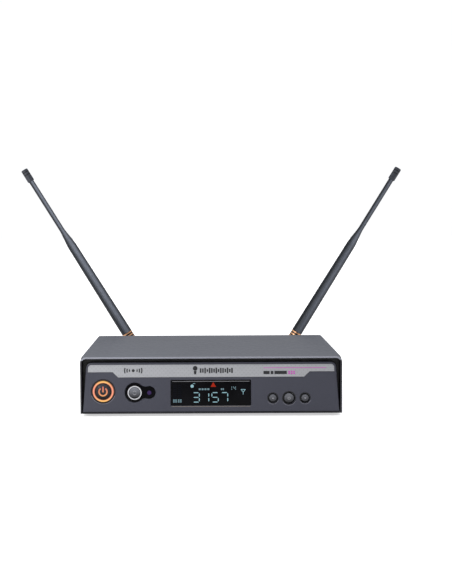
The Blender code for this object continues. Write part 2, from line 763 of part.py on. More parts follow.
def make_ribbon(mats):
    """A flat cable that arches from the display board down to the main board."""
    start = (FRONT_Y - DISPLAY_BOARD_FACE + BOARD_THICK + GAP, 0.030)
    end = (MAIN_BOARD_FRONT + 0.022, PART_BASE + 0.0005)
    half = 0.0004
    steps = 10
    upper, lower = [], []
    for i in range(steps + 1):
        t = math.pi / 2 * i / steps
        along, down = math.sin(t), math.cos(t)
        y = start[0] + (end[0] - start[0]) * along
        z = end[1] + (start[1] - end[1]) * down
        slope = math.atan2(-(start[1] - end[1]) * along, (end[0] - start[0]) * down)
        upper.append((y - half * math.sin(slope), z + half * math.cos(slope)))
        lower.append((y + half * math.sin(slope), z - half * math.cos(slope)))
    strip = prism(upper + lower[::-1], -0.0125, 0.0125)
    add("ribbon_cable", laid_along_x(strip), mats["ribbon_grey"])


# -------------------------------------------------------------------- rear connectors
def make_xlr(mats):
    """A three-pin male output socket with a square flange outside the wall."""
    rear = bpy.data.objects["rear_frame"]
    place = (-XLR_XZ[0], XLR_XZ[1], 0)
    outline = rounded_rectangle(0.026, 0.031, 0.003)
    socket = add("xlr_socket", prism(outline, GAP, 0.0023), mats["black_plastic"], rear, place)
    join(socket, rod(XLR_BARREL_R, -0.018, 0.0015, 32))
    cut(socket, rod(0.0093, -0.0135, 0.01, 32))
    for degrees in (30, 150, 270):
        turn = math.radians(degrees)
        pin = moved(rod(0.0012, -0.0145, -0.0024, 12), 0.0039 * math.cos(turn), 0.0039 * math.sin(turn))
        join(socket, pin)
    screw_profile = [
        (0, -0.005),
        (0.0013, -0.005),
        (0.0013, 0.0026),
        (0.0027, 0.0026),
        (0.0025, 0.0042),
        (0, 0.0045),
    ]
    for index, sign in enumerate((-1, 1), 1):
        x, y = -sign * XLR_SCREW[0], sign * XLR_SCREW[1]
        cut(socket, moved(rod(0.0017, -0.005, 0.01, 12), x, y))
        where = (place[0] + x, place[1] + y, 0)
        screw = add(f"xlr_screw_{index}", turned(screw_profile, 16), mats["plated_steel"], rear, where)
        cut(screw, *cross_recess(0.0016, 0.0045))


def make_rear_sockets(mats):
    rear = bpy.data.objects["rear_frame"]
    behind = -CHASSIS_SHEET - GAP
    x, z = -PHONE_XZ[0], PHONE_XZ[1]
    body = block((x - 0.007, PART_BASE, -0.029), (x + 0.007, z + 0.008, behind))
    jack = add("phone_jack", body, mats["black_plastic"], rear)
    join(jack, moved(rod(PHONE_NOSE_R, -0.003, 0.0028, 20), x, z))
    cut(jack, moved(rod(0.0033, -0.025, 0.01, 20), x, z))
    x, z = -DC_XZ[0], DC_XZ[1]
    body = block((x - 0.0048, PART_BASE, -0.014), (x + 0.0048, z + 0.0055, behind))
    dc = add("dc_socket", body, mats["black_plastic"], rear)
    join(dc, moved(rod(DC_NOSE_R, -0.003, 0.0010, 20), x, z))
    cut(dc, moved(rod(0.0031, -0.010, 0.01, 20), x, z))
    join(dc, moved(rod(0.0010, -0.011, -0.0010, 10), x, z))
    x, z = -LEVEL_XZ[0], LEVEL_XZ[1]
    body = block((x - 0.008, PART_BASE, -0.009), (x + 0.008, z + 0.008, behind))
    pot = add("level_pot", body, mats["black_plastic"], rear)
    join(pot, moved(rod(POT_BUSH_R, -0.003, 0.0045, 16), x, z))
    cut(pot, moved(rod(0.0023, -0.006, 0.01, 16), x, z))
    knob_profile = [
        (0, -0.005),
        (0.0020, -0.005),
        (0.0020, 0.0052),
        (0.0042, 0.0052),
        (0.0042, 0.0010),
        (0.0072, 0.0010),
        (0.0068, 0.0120),
        (0.0060, 0.0130),
        (0, 0.0130),
    ]
    knob = add("level_knob", turned(knob_profile, 24), mats["black_plastic"], rear, (x, z, 0))
    cut(knob, block((-0.0005, 0.002, 0.0124), (0.0005, 0.009, 0.02)))


def make_antenna_socket(mats, name, side):
    """A right-angle board socket whose threaded nose passes through the rear wall."""
    rear = bpy.data.objects["rear_frame"]
    place = (-bnc_x(side), BNC_Z, 0)
    low = (-0.007, PART_BASE - BNC_Z, -0.016)
    high = (0.007, 0.007, -CHASSIS_SHEET - GAP)
    socket = add(f"antenna_socket_{name}", block(low, high), mats["nickel"], rear, place)
    nose = [
        (0, -0.003),
        (BNC_THREAD_R, -0.003),
        (BNC_THREAD_R, 0.012),
        (0.0036, 0.012),
        (0.0036, 0.002),
        (0.0011, 0.002),
        (0.0011, 0.0100),
        (0, 0.0100),
    ]
    join(socket, turned(nose, 20))
    for sign in (-1, 1):
        low_x, high_x = sorted((sign * 0.0042, sign * 0.0056))
        join(socket, moved(turned_to(rod(0.0009, low_x, high_x, 8), "x"), z=0.008))
    hexagon = arc((0, 0), 0.0075, 0, 300, 5)
    nut = add(f"antenna_socket_nut_{name}", prism(hexagon, GAP, 0.0025), mats["nickel"], rear, place)
    cut(nut, rod(BNC_THREAD_R + GAP, -0.005, 0.01, 20))


# -------------------------------------------------------------------------- antennas
BAYONET_PROFILE = [
    (0.0059, 0.0045),
    (0.0068, 0.0045),
    (0.0072, 0.0049),
    (0.0072, 0.0172),
    (0.0065, 0.0180),
    (0.0053, 0.0180),
    (0.0053, 0.0145),
    (0.0059, 0.0145),
]
PLUG_PROFILE = [
    (0, 0.0120),
    (0.0015, 0.0120),
    (0.0015, 0.0050),
    (0.0030, 0.0050),
    (0.0030, 0.0126),
    (0.0056, 0.0126),
    (0.0056, 0.0142),
    (0.0050, 0.0142),
    (0.0050, 0.0184),
    (0.0056, 0.0184),
    (0.0056, 0.0262),
    (0, 0.0262),
]


def sleeve_radius(s):
    """Outer radius of the rubber sleeve a distance s from the elbow pin."""
    if s <= SHOULDER_START:
        share = (s - SLEEVE_START) / (SHOULDER_START - SLEEVE_START)
        return SLEEVE_R_LOW + (SLEEVE_R_HIGH - SLEEVE_R_LOW) * share
    if s >= SHOULDER_END:
        return WHIP_R
    t = (s - SHOULDER_START) / (SHOULDER_END - SHOULDER_START)
    smooth = t * t * (3 - 2 * t)
    return SLEEVE_R_HIGH + (WHIP_R - SLEEVE_R_HIGH) * (0.4 * t + 0.6 * smooth)


def along_rod(shape):
    """Lays a part turned about z along the rod, which runs up y from the elbow pin."""
    return moved(turned_to(shape, "y"), z=ELBOW_OUT)


def make_antenna(mats, name, side):
    """Bayonet nut, plug body with its fork, elbow pin, foot, ferrule, sleeve and tip,
    in a frame with z along the socket's axis and y along the rod."""
    frame = frame_empty(
        f"antenna_frame_{name}",
        (-bnc_x(side), BNC_Z, 0),
        (0, 0, side * ANTENNA_LEAN),
        bpy.data.objects["rear_frame"],
    )
    add(f"bayonet_nut_{name}", turned(BAYONET_PROFILE, 24), mats["nickel"], frame)
    plug = add(f"plug_body_{name}", turned(PLUG_PROFILE, 24), mats["nickel"], frame)
    knuckle = arc((ELBOW_OUT, 0), FORK_R, -90, 90, 8) + [(0.0245, FORK_R), (0.0245, -FORK_R)]
    join(plug, across_fork(knuckle, FORK_R))
    cut(
        plug,
        block((-SLOT_HALF, -0.02, 0.0268), (SLOT_HALF, 0.02, 0.06)),
        moved(turned_to(rod(PIN_R + GAP, -0.02, 0.02, 12), "x"), z=ELBOW_OUT),
    )
    pin = moved(turned_to(rod(PIN_R, -FORK_R, FORK_R, 12), "x"), z=ELBOW_OUT)
    add(f"elbow_pin_{name}", pin, mats["plated_steel"], frame)

    tongue_r = FORK_R - 0.0002
    tongue = arc((ELBOW_OUT, 0), tongue_r, 180, 360, 8) + [
        (ELBOW_OUT + tongue_r, FOOT_START + 0.001),
        (ELBOW_OUT - tongue_r, FOOT_START + 0.001),
    ]
    foot = add(f"antenna_foot_{name}", across_fork(tongue, TONGUE_HALF), mats["antenna_rubber"], frame)
    spigot_end = SLEEVE_START + 0.012
    join(foot, along_rod(turned(foot_profile(spigot_end), 24)))
    cut(foot, moved(turned_to(rod(PIN_R + GAP, -0.02, 0.02, 12), "x"), z=ELBOW_OUT))

    add(f"ring_ferrule_{name}", along_rod(turned(ferrule_profile(), 24)), mats["ring_copper"], frame)
    sleeve = along_rod(turned(sleeve_profile(spigot_end), 20))
    add(f"antenna_sleeve_{name}", sleeve, mats["antenna_rubber"], frame)
    add(f"antenna_tip_{name}", along_rod(turned(tip_profile(), 20)), mats["antenna_rubber"], frame)


def across_fork(outline, half):
    """Extrudes a (z, y) outline along the elbow's x axis."""
    return laid_along_x(prism([(y, z) for z, y in outline], -half, half))


def foot_profile(spigot_end):
    """The foot's barrel, and the spigot that the ferrule and the sleeve sit on."""
    return [
        (0, FOOT_START),
        (0.0046, FOOT_START),
        (0.0050, FOOT_START + 0.0006),
        (0.0050, RINGS_START - GAP),
        (0.0030, RINGS_START - GAP),
        (0.0030, spigot_end),
        (0, spigot_end),
    ]


def tip_profile():
    return [
        (0, SLEEVE_END + GAP),
        (WHIP_R + GAP, SLEEVE_END + GAP),
        (WHIP_R + GAP, TIP_START),
        (TIP_R - 0.0003, TIP_START),
        (TIP_R, TIP_START + 0.0006),
        (TIP_R, TIP_END - 0.0005),
        (TIP_R - 0.0005, TIP_END),
        (0, TIP_END),
    ]


def ferrule_profile():
    """A ferrule with three raised rings; the top one ends under the sleeve."""
    end = SLEEVE_START - GAP
    ring, pitch = 0.0012, 0.0025
    outside = [(FERRULE_R, RINGS_START)]
    for i in (2, 1, 0):
        top = end - i * pitch
        outside += [(FERRULE_R, top - ring), (RING_R, top - ring), (RING_R, top), (FERRULE_R, top)]
    outside[-1:] = []
    inner = 0.0030 + GAP
    return [(inner, RINGS_START), *outside, (inner, end)]


def sleeve_profile(spigot_end):
    stations = [SLEEVE_START, SHOULDER_START]
    stations += [SHOULDER_START + (SHOULDER_END - SHOULDER_START) * i / 6 for i in range(1, 7)]
    outside = [(sleeve_radius(s), s) for s in stations] + [(WHIP_R, SLEEVE_END)]
    bore = [(0, spigot_end + GAP), (0.0030 + GAP, spigot_end + GAP), (0.0030 + GAP, SLEEVE_START)]
    return [*bore, *outside, (0, SLEEVE_END)]


# ---------------------------------------------------------------------------- build
def main():
    for obj in list(bpy.data.objects):
        bpy.data.objects.remove(obj, do_unlink=True)
    frame_empty("front_frame", (0, FRONT_Y, 0), (math.pi / 2, 0, 0))
    frame_empty("rear_frame", (0, REAR_Y, 0), (math.pi / 2, 0, math.pi))
    mats = make_finishes()
    make_cover(mats)
    make_cover_screws(mats)
    make_chassis(mats)
    make_feet(mats)
    make_front_panel(mats)
    make_face_trim(mats)
    make_buttons(mats)
    make_switches(mats)
    make_boards(mats)
    make_xlr(mats)
    make_rear_sockets(mats)
    for name, side in (("left", -1), ("right", 1)):
        make_antenna_socket(mats, name, side)
        make_antenna(mats, name, side)


main()
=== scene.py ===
"""Looks of a half-width rack wireless receiver with two elbow antennas.

Metres, +Z up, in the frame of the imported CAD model: the front faces -Y. Every CAD solid
stays and gets a worked material. Lit display marks, printed marks, knurling, contacts
and circuit parts are added as pieces of their own.
"""

import math

import bmesh
import bpy
from mathutils import Matrix, Vector


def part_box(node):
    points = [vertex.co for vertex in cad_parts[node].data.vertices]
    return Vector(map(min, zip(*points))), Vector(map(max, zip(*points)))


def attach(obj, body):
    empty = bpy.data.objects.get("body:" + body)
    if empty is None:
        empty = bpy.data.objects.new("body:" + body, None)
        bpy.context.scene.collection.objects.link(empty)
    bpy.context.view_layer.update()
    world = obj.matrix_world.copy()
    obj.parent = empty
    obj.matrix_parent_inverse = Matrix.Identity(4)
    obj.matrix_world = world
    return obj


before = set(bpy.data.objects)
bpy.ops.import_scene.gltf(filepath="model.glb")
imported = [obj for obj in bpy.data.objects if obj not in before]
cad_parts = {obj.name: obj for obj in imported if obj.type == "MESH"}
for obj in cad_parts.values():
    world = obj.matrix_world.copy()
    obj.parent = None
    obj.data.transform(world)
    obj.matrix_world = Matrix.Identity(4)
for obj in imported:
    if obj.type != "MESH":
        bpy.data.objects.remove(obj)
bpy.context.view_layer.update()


# --------------------------------------------------- places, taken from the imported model
def node_middle(node):
    """A node's middle as seen from the front, (x, z)."""
    low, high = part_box(node)
    return (low.x + high.x) / 2, (low.z + high.z) / 2


COVER_LOW, COVER_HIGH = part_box("top_cover")
CASE_BOTTOM, CASE_TOP = COVER_LOW.z, COVER_HIGH.z
CASE_HALF = COVER_HIGH.x
FRONT_Y = COVER_LOW.y  # the hood's rim
REAR_Y = COVER_HIGH.y  # the rear wall's outer face
POWER_XZ = node_middle("power_light_ring")
SYNC_XZ = node_middle("sync_button")
IR_XZ = node_middle("ir_led")
KEY_Z = node_middle("set_button")[1]
AERIAL_X = {side: node_middle(f"bayonet_nut_{side}")[0] for side in ("left", "right")}
AERIAL_Z = node_middle("bayonet_nut_left")[1]
KNOB_X = node_middle("level_knob")[0]
JACK_X = node_middle("phone_jack")[0]
XLR_XZ = node_middle("xlr_socket")
DC_XZ = (node_middle("dc_socket")[0], CASE_BOTTOM + 0.0145)
BOARD_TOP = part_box("main_board")[1].z
PART_FOOT = BOARD_TOP + 0.0002  # where the parts on the board begin

# ------------------------------------------------------------------ named dimensions
# A name that ends in XZ is a place on the front or the rear: x, then z.
CAMERA_PLACE = (-0.0063, -1.0087, 0.1640)
CAMERA_PITCH = math.radians(4.01)  # downwards
CAMERA_ROLL = math.radians(-0.27)
CAMERA_LENS_MM = 70.6
CAMERA_SHIFT_X = 0.0396  # the view is cropped off its own middle
SENSOR_MM = 36.0

RING_GLOW_R = 0.0077  # the light ring is brightest at this radius
RING_GLOW_HALF = 0.0008
KEY_HOLE_R = {"up": 0.0039, "set": 0.0049, "down": 0.0039}
IR_LENS_R = 0.0017
# bands round the buttons, the wells painted as shade and the lips as highlights: inner and outer radius,
# for the keys beyond the hole's radius
POWER_WELL = (0.0088, 0.0096)
POWER_LIP = (0.0097, 0.0101)
KEY_WELL = (0.0001, 0.0006)
KEY_LIP = (0.0007, 0.0011)
EDGE_LINE = 0.0004  # how high the painted highlight lines round the window are

# the rear, with depths behind its wall
KNURL_WIDTH = 0.0008
NUT_KNURL_R = 0.0072
NUT_KNURL_BANDS = ((0.0056, 0.0098), (0.0116, 0.0160))
KNOB_RIDGE_R = 0.0070
KNOB_RIDGE_BAND = (0.0022, 0.0112)
KNOB_FACE = 0.0132
KNOB_LINE_Z = (0.0022, 0.0058)  # above the knob's axis
XLR_PIN_CIRCLE_R = 0.0039
XLR_PIN_R = 0.00128
DC_PIN_R = 0.00108
JACK_TRIM = (0.0034, 0.0049)
SCALE_R = 0.0086
SCALE_MARKS = 11
# printed circles round the sockets: inner and outer radius
AERIAL_CIRCLE = (0.0096, 0.0101)
JACK_CIRCLE = (0.0072, 0.0076)
DC_CIRCLE = (0.0056, 0.0060)

AERIAL_LEAN = {"left": math.radians(-31.7), "right": math.radians(31.7)}  # from upright

PIN_PITCH = 0.00127  # of a chip's legs
# circuit parts: x, y, half side
CHIPS = (
    (-0.045, -0.022, 0.006),
    (-0.020, -0.024, 0.004),
    (0.018, -0.020, 0.007),
    (0.045, -0.024, 0.004),
)
# x, y, radius, height
CAPACITORS = (
    (-0.070, -0.030, 0.004, 0.011),
    (-0.060, -0.032, 0.003, 0.009),
    (0.064, -0.030, 0.004, 0.011),
)

PANEL_LEAN = math.radians(4.5)  # the front face leans back by this much
LIFT = 0.00006  # how far print stands in front of the surface it is on
PRINT_THICK = 0.00004

# marks of the display
READOUT = "3157"
READOUT_XZ = (-0.0150, CASE_BOTTOM + 0.0087)
DIGIT_WIDTH = 0.0058
DIGIT_HEIGHT = 0.0082
DIGIT_STROKE = 0.0007
DIGIT_GAP = 0.0005
DIGIT_PITCH = 0.0076
SMALL_READOUT = "14"
SMALL_READOUT_XZ = (0.0145, CASE_BOTTOM + 0.0182)
SMALL_DIGIT_WIDTH = 0.0023
SMALL_DIGIT_HEIGHT = 0.0038
SMALL_DIGIT_STROKE = 0.0006
SMALL_DIGIT_PITCH = 0.0031
STATUS_Z = (CASE_BOTTOM + 0.0186, CASE_BOTTOM + 0.0200)
STATUS_LEFT = -0.0100
STATUS_PITCH = 0.0023
STATUS_WIDTH = 0.0016
SHORT_STATUS_LEFTS = (0.0078, 0.0092)
SHORT_STATUS_WIDTH = 0.0010
PADLOCK_XZ = (-0.0153, CASE_BOTTOM + 0.0218)
AERIAL_SIGN_XZ = (0.0257, CASE_BOTTOM + 0.0150)
ALERT_XZ = (-0.0005, CASE_BOTTOM + 0.0212)
ALERT_WIDTH = 0.0044
ALERT_HEIGHT = 0.0038
# two columns of level bars on feet of four small cells
LEVEL_LEFTS = (-0.0306, -0.0268)
LEVEL_FOOT_Z = CASE_BOTTOM + 0.0088
CELL_WIDTH = 0.0013
CELL_HEIGHT = 0.0010
CELL_PITCH = (0.0017, 0.0014)
BARS_Z = CASE_BOTTOM + 0.0122
BAR_COUNT = 7
BAR_WIDTH = 0.0030
BAR_HEIGHT = 0.0011
BAR_PITCH = 0.0016

# marks of the silver strip
DOT_COLUMN = 0.0033
DOT_ROW = 0.0018
DOT_R = 0.00042
WAVE_XZ = (-0.0625, CASE_BOTTOM + 0.0345)
WAVE_RADII = (0.0026, 0.0045, 0.0064)
WAVE_STROKE = 0.0010
WAVE_HALF_ANGLE = 18
MICROPHONE_XZ = (-0.0128, CASE_BOTTOM + 0.0347)
SOUND_XZ = (-0.0090, CASE_BOTTOM + 0.0343)
SOUND_BARS = 15
SOUND_PITCH = 0.0018
SOUND_WIDTH = 0.0012
PLAIN_BARS = ((0.0420, 0.0050), (0.0478, 0.0022), (0.0508, 0.0100))  # left, width
PLAIN_BAR_Z = (CASE_BOTTOM + 0.0312, CASE_BOTTOM + 0.0338)
PINK_LEFTS = (0.0620, 0.0640, 0.0660)
PINK_WIDTH = 0.0013
PINK_HEIGHT = 0.0011
LINE_X = (0.0420, 0.0925)
LINE_Z = (CASE_BOTTOM + 0.0361, CASE_BOTTOM + 0.0365)

CASE_PAINT = (0.079, 0.084, 0.101)
CHASSIS_PAINT = (0.018, 0.018, 0.022)
PANEL_PAINT = (0.033, 0.034, 0.046)
# near black painted as shade in grooves and inside the case
SHADE_BLACK = (0.006, 0.006, 0.007)
# painted highlight along the top of the case's front rim
RIM_HIGHLIGHT = (0.17, 0.175, 0.205)
RUBBER = (0.007, 0.009, 0.012)
# painted highlight colour of the antenna rubber
RUBBER_HIGHLIGHT = (0.135, 0.148, 0.178)
HIGHLIGHT_SIDE = (0.29, -0.94, 0.19)  # which way the painted highlight on the rubber faces
TIP_PLASTIC = (0.030, 0.033, 0.042)
RING_COPPER = (0.62, 0.33, 0.17)
GROOVE_Y = FRONT_Y + 0.0060  # behind this the panel is its groove, painted nearly black as shade
RINGS_END = 0.0270  # the top ring's upper edge, measured along the rod from the elbow
RING_PITCH = 0.0025
RING_SHARE = 0.48  # how much of each pitch is copper
TIP_GROOVES = (0.2062, 0.2090)  # their middles, also along the rod
TIP_GROOVE_HALF = 0.00045

# the sky's strength low down, overhead, and as the camera sees it
HORIZON_LIGHT = 0.12
ZENITH_LIGHT = 1.6
BACKDROP_LIGHT = 1.03
KEY_LIGHT_PLACE = (-0.37, -0.42, 0.27)
KEY_LIGHT_SIZE = 0.28
KEY_LIGHT_WATTS = 2.3

# which of the seven segments light for each figure: top, upper right, lower right,
# bottom, lower left, upper left, middle
SEGMENTS = {
    "1": "0110000",
    "3": "1111001",
    "4": "0110011",
    "5": "1011011",
    "7": "1110000",
}


# ----------------------------------------------------------------------------- camera
def make_camera():
    """The camera that sees the unit as it is usually shown, from a little above."""
    data = bpy.data.cameras.new("camera")
    data.lens = CAMERA_LENS_MM
    data.sensor_width = SENSOR_MM
    data.shift_x = CAMERA_SHIFT_X
    camera = bpy.data.objects.new("camera", data)
    bpy.context.scene.collection.objects.link(camera)
    camera.location = CAMERA_PLACE
    pitch = Matrix.Rotation(math.pi / 2 - CAMERA_PITCH, 3, "X")
    turn = pitch @ Matrix.Rotation(CAMERA_ROLL, 3, "Z")
    camera.rotation_euler = turn.to_euler()
    bpy.context.scene.camera = camera


# -------------------------------------------------------------------- material helpers
class Look:
    """A Principled material, with short calls that add procedural nodes to it."""

    def __init__(self, name, colour=(0.5, 0.5, 0.5), roughness=0.5, metallic=0.0, shine=0.5):
        self.material = bpy.data.materials.new(name)
        self.material.use_nodes = True
        self.tree = self.material.node_tree
        self.shader = self.tree.nodes["Principled BSDF"]
        self.shader.inputs["Base Color"].default_value = (*colour, 1)
        self.shader.inputs["Roughness"].default_value = roughness
        self.shader.inputs["Metallic"].default_value = metallic
        self.shader.inputs["Specular IOR Level"].default_value = shine
        coordinates = self.node("ShaderNodeTexCoord")
        self.place = coordinates.outputs["Object"]
        self.facing = coordinates.outputs["Normal"]

    def node(self, kind, settings=None, **inputs):
        """Adds a node. Inputs are given by name, as numbers or as other nodes' outputs."""
        made = self.tree.nodes.new(kind)
        for key, value in (settings or {}).items():
            setattr(made, key, value)
        for key, value in inputs.items():
            self.feed(made.inputs[key.replace("_", " ")], value)
        return made

    def feed(self, socket, value):
        """Links an output to a socket, or sets the socket to a number."""
        if isinstance(value, bpy.types.NodeSocket):
            self.tree.links.new(value, socket)
        else:
            socket.default_value = value

    def calc(self, operation, first, second=0.0):
        """One step of arithmetic, under the Math node's own name for it."""
        made = self.node("ShaderNodeMath", {"operation": operation})
        self.feed(made.inputs[0], first)
        self.feed(made.inputs[1], second)
        return made.outputs[0]

    def axes(self):
        """The object's own X, Y and Z."""
        return self.node("ShaderNodeSeparateXYZ", Vector=self.place).outputs

    def below(self, value, limit):
        return self.calc("LESS_THAN", value, limit)

    def above(self, value, limit):
        return self.calc("GREATER_THAN", value, limit)

    def both(self, first, second):
        return self.calc("MULTIPLY", first, second)

    def stretched(self, x=1.0, y=1.0, z=1.0):
        return self.node("ShaderNodeMapping", Vector=self.place, Scale=(x, y, z)).outputs[0]

    def noise(self, scale, detail=3.0, where=None):
        made = self.node("ShaderNodeTexNoise", Vector=where or self.place, Scale=scale, Detail=detail)
        return made.outputs[0]

    def spread(self, factor, low, high):
        """The factor's middle range, 0.3 to 0.7, mapped on to low..high."""
        made = self.node("ShaderNodeMapRange", Value=factor)
        for name, value in (("From Min", 0.3), ("From Max", 0.7), ("To Min", low), ("To Max", high)):
            made.inputs[name].default_value = value
        return made.outputs[0]

    def blend(self, factor, first, second):
        made = self.node("ShaderNodeMix", {"data_type": "RGBA"})
        self.feed(made.inputs[0], factor)
        for socket, value in ((made.inputs[6], first), (made.inputs[7], second)):
            self.feed(socket, value if isinstance(value, bpy.types.NodeSocket) else (*value, 1))
        return made.outputs[2]

    def colour(self, value):
        self.feed(self.shader.inputs["Base Color"], value)

    def roughness(self, value):
        self.feed(self.shader.inputs["Roughness"], value)

    def bump(self, height, distance, strength=1.0):
        made = self.node("ShaderNodeBump", Height=height, Distance=distance, Strength=strength)
        self.feed(self.shader.inputs["Normal"], made.outputs[0])

    def emit(self, value, strength):
        if isinstance(value, bpy.types.NodeSocket):
            self.feed(self.shader.inputs["Emission Color"], value)
        else:
            self.shader.inputs["Emission Color"].default_value = (*value, 1)
        self.shader.inputs["Emission Strength"].default_value = strength


# --------------------------------------------------------------------------- materials
def powder_coat(name, colour, roughness, grain=1400.0):
    """Sprayed paint: fine orange peel, slight clouding and soft sheen changes."""
    look = Look(name, colour, roughness, 0.0, 0.22)
    look.colour(paint_tone(look, colour))
    look.roughness(look.spread(look.noise(300.0), roughness - 0.05, roughness + 0.06))
    look.bump(look.noise(grain, 2.0), 0.00002, 0.12)
    return look


def paint_tone(look, colour):
    """The paint's own colour with slight clouds and specks."""
    cloud = look.spread(look.noise(22.0), 0.0, 1.0)
    speck = look.spread(look.noise(2600.0, 1.0), -0.2, 0.2)
    tone = look.calc("ADD", cloud, speck)
    return look.blend(tone, tuple(c * 0.96 for c in colour), tuple(c * 1.04 for c in colour))


def cover_paint():
    """Case paint, with painted light and shade: a painted highlight along the top of the rolled rim
    over the front, painted shade on the rim's front below it, and the sheet's inside near the front
    painted nearly black as shade."""
    look = powder_coat("case_paint", CASE_PAINT, 0.45)
    x, y, z = look.axes()
    # painted highlight: the top of the front rim is painted pale
    rim = look.both(look.below(y, FRONT_Y + 0.0009), look.above(z, CASE_TOP - 0.0028))
    # painted shade: the sheet's inside behind the front rim is painted nearly black
    deep = look.above(y, FRONT_Y + 0.0006)
    within = look.below(look.calc("ABSOLUTE", x), CASE_HALF - 0.0006)
    under = look.both(look.below(z, CASE_TOP - 0.0006), within)
    tone = look.blend(look.both(deep, under), paint_tone(look, CASE_PAINT), SHADE_BLACK)
    # painted shade: the rim's front below the top is painted in the dark chassis colour
    side = look.both(look.below(y, FRONT_Y + 0.0009), look.below(z, CASE_TOP - 0.0028))
    tone = look.blend(side, tone, CHASSIS_PAINT)
    look.colour(look.blend(rim, tone, RIM_HIGHLIGHT))
    return look.material


def panel_paint():
    """Panel paint with painted shade: nearly black down in the groove round the raised middle."""
    look = powder_coat("panel_paint", PANEL_PAINT, 0.42, 1800.0)
    y = look.axes()["Y"]
    # painted shade: the panel is painted nearly black down in its groove
    look.colour(look.blend(look.above(y, GROOVE_Y), paint_tone(look, PANEL_PAINT), SHADE_BLACK))
    return look.material


def along_rod(look, aerial):
    """How far a point is along an antenna's rod from its elbow."""
    x, _, z = look.axes()
    lean = AERIAL_LEAN[aerial]
    across = look.calc("MULTIPLY", look.calc("SUBTRACT", x, AERIAL_X[aerial]), math.sin(lean))
    up = look.calc("MULTIPLY", look.calc("SUBTRACT", z, AERIAL_Z), math.cos(lean))
    return look.calc("ADD", across, up)


def grooved_tip(name, aerial):
    """Moulded tip cap with painted shade: two dark bands where its grooves are, near its end."""
    look = Look(name, TIP_PLASTIC, 0.45, 0.0, 0.2)
    along = along_rod(look, aerial)
    tone = look.spread(look.noise(400.0), 0.0, 1.0)
    colour = look.blend(tone, tuple(c * 0.8 for c in TIP_PLASTIC), TIP_PLASTIC)
    # painted shade in the two grooves near the tip
    for groove in TIP_GROOVES:
        away = look.calc("ABSOLUTE", look.calc("SUBTRACT", along, groove))
        colour = look.blend(look.below(away, TIP_GROOVE_HALF), colour, SHADE_BLACK)
    look.colour(colour)
    look.roughness(look.spread(look.noise(500.0), 0.40, 0.50))
    return look.material


def ringed_ferrule(name, aerial):
    """Copper-coloured rings with dark rubber between them, square to the rod."""
    look = Look(name, RING_COPPER, 0.35, 0.6)
    along = look.calc("SUBTRACT", RINGS_END, along_rod(look, aerial))
    in_ring = look.below(look.calc("FRACT", look.calc("DIVIDE", along, RING_PITCH)), RING_SHARE)
    grain = look.spread(look.noise(1500.0), 0.0, 1.0)
    copper = look.blend(grain, tuple(c * 0.85 for c in RING_COPPER), RING_COPPER)
    look.colour(look.blend(in_ring, RUBBER, copper))
    look.roughness(look.spread(look.noise(700.0), 0.30, 0.42))
    return look.material


def moulded(name, colour, roughness, grain=2200.0, depth=0.00002):
    """Moulded plastic or rubber with a fine spark-eroded texture."""
    look = Look(name, colour, roughness, 0.0, 0.25)
    tone = look.spread(look.noise(60.0), 0.0, 1.0)
    look.colour(look.blend(tone, tuple(c * 0.88 for c in colour), tuple(c * 1.12 for c in colour)))
    look.roughness(look.spread(look.noise(500.0), roughness - 0.06, roughness + 0.06))
    look.bump(look.noise(grain, 2.0), depth, 0.4)
    return look.material


def rubber_with_highlight():
    """Satin rubber with a painted highlight: paler where it faces the front or the back."""
    look = Look("antenna_rubber", RUBBER, 0.42, 0.0, 0.12)
    # painted highlight: the rubber is painted paler where it faces the highlight side
    turned = look.node("ShaderNodeVectorMath", {"operation": "DOT_PRODUCT"})
    look.feed(turned.inputs[0], look.facing)
    look.feed(turned.inputs[1], HIGHLIGHT_SIDE)
    highlight_share = look.calc("POWER", look.calc("ABSOLUTE", turned.outputs["Value"]), 7.0)
    grain = look.spread(look.noise(240.0, 3.0), 0.85, 1.0)
    look.colour(look.blend(look.both(highlight_share, grain), RUBBER, RUBBER_HIGHLIGHT))
    look.roughness(look.spread(look.noise(500.0), 0.37, 0.48))
    look.bump(look.noise(1800.0, 2.0), 0.000015, 0.3)
    return look.material


def plated(name, colour, roughness, stretch=(1.0, 1.0, 1.0)):
    """Plated metal with fine drawn lines along one direction and faint stains."""
    look = Look(name, colour, roughness, 1.0)
    lines = look.noise(900.0, 4.0, look.stretched(*stretch))
    stain = look.spread(look.noise(140.0), 0.0, 1.0)
    look.colour(look.blend(stain, tuple(c * 0.82 for c in colour), colour))
    look.roughness(look.spread(lines, max(roughness - 0.07, 0.03), roughness + 0.10))
    look.bump(lines, 0.00001, 0.25)
    return look.material


def silver_label():
    """Satin silver film printed with staggered rows of small grey dots."""
    look = Look("silver_label", (0.20, 0.20, 0.21), 0.42, 0.25)
    x, _, z = look.axes()
    column = look.calc("DIVIDE", x, DOT_COLUMN)
    row = look.calc("DIVIDE", z, DOT_ROW)
    shifted = look.calc("ADD", column, look.calc("MULTIPLY", look.calc("FLOOR", row), 0.5))
    across = look.calc("MULTIPLY", look.calc("SUBTRACT", look.calc("FRACT", shifted), 0.5), DOT_COLUMN)
    up = look.calc("MULTIPLY", look.calc("SUBTRACT", look.calc("FRACT", row), 0.5), DOT_ROW)
    reach = look.calc("SQRT", look.calc("ADD", look.both(across, across), look.both(up, up)))
    dot = look.below(reach, DOT_R)
    sheen = look.spread(look.noise(1200.0, 3.0, look.stretched(0.06, 1, 1)), 0.0, 1.0)
    film = look.blend(sheen, (0.232, 0.236, 0.249), (0.258, 0.262, 0.275))
    look.colour(look.blend(look.both(dot, 0.5), film, (0.17, 0.17, 0.18)))
    look.roughness(look.spread(look.noise(700.0), 0.38, 0.48))
    return look.material


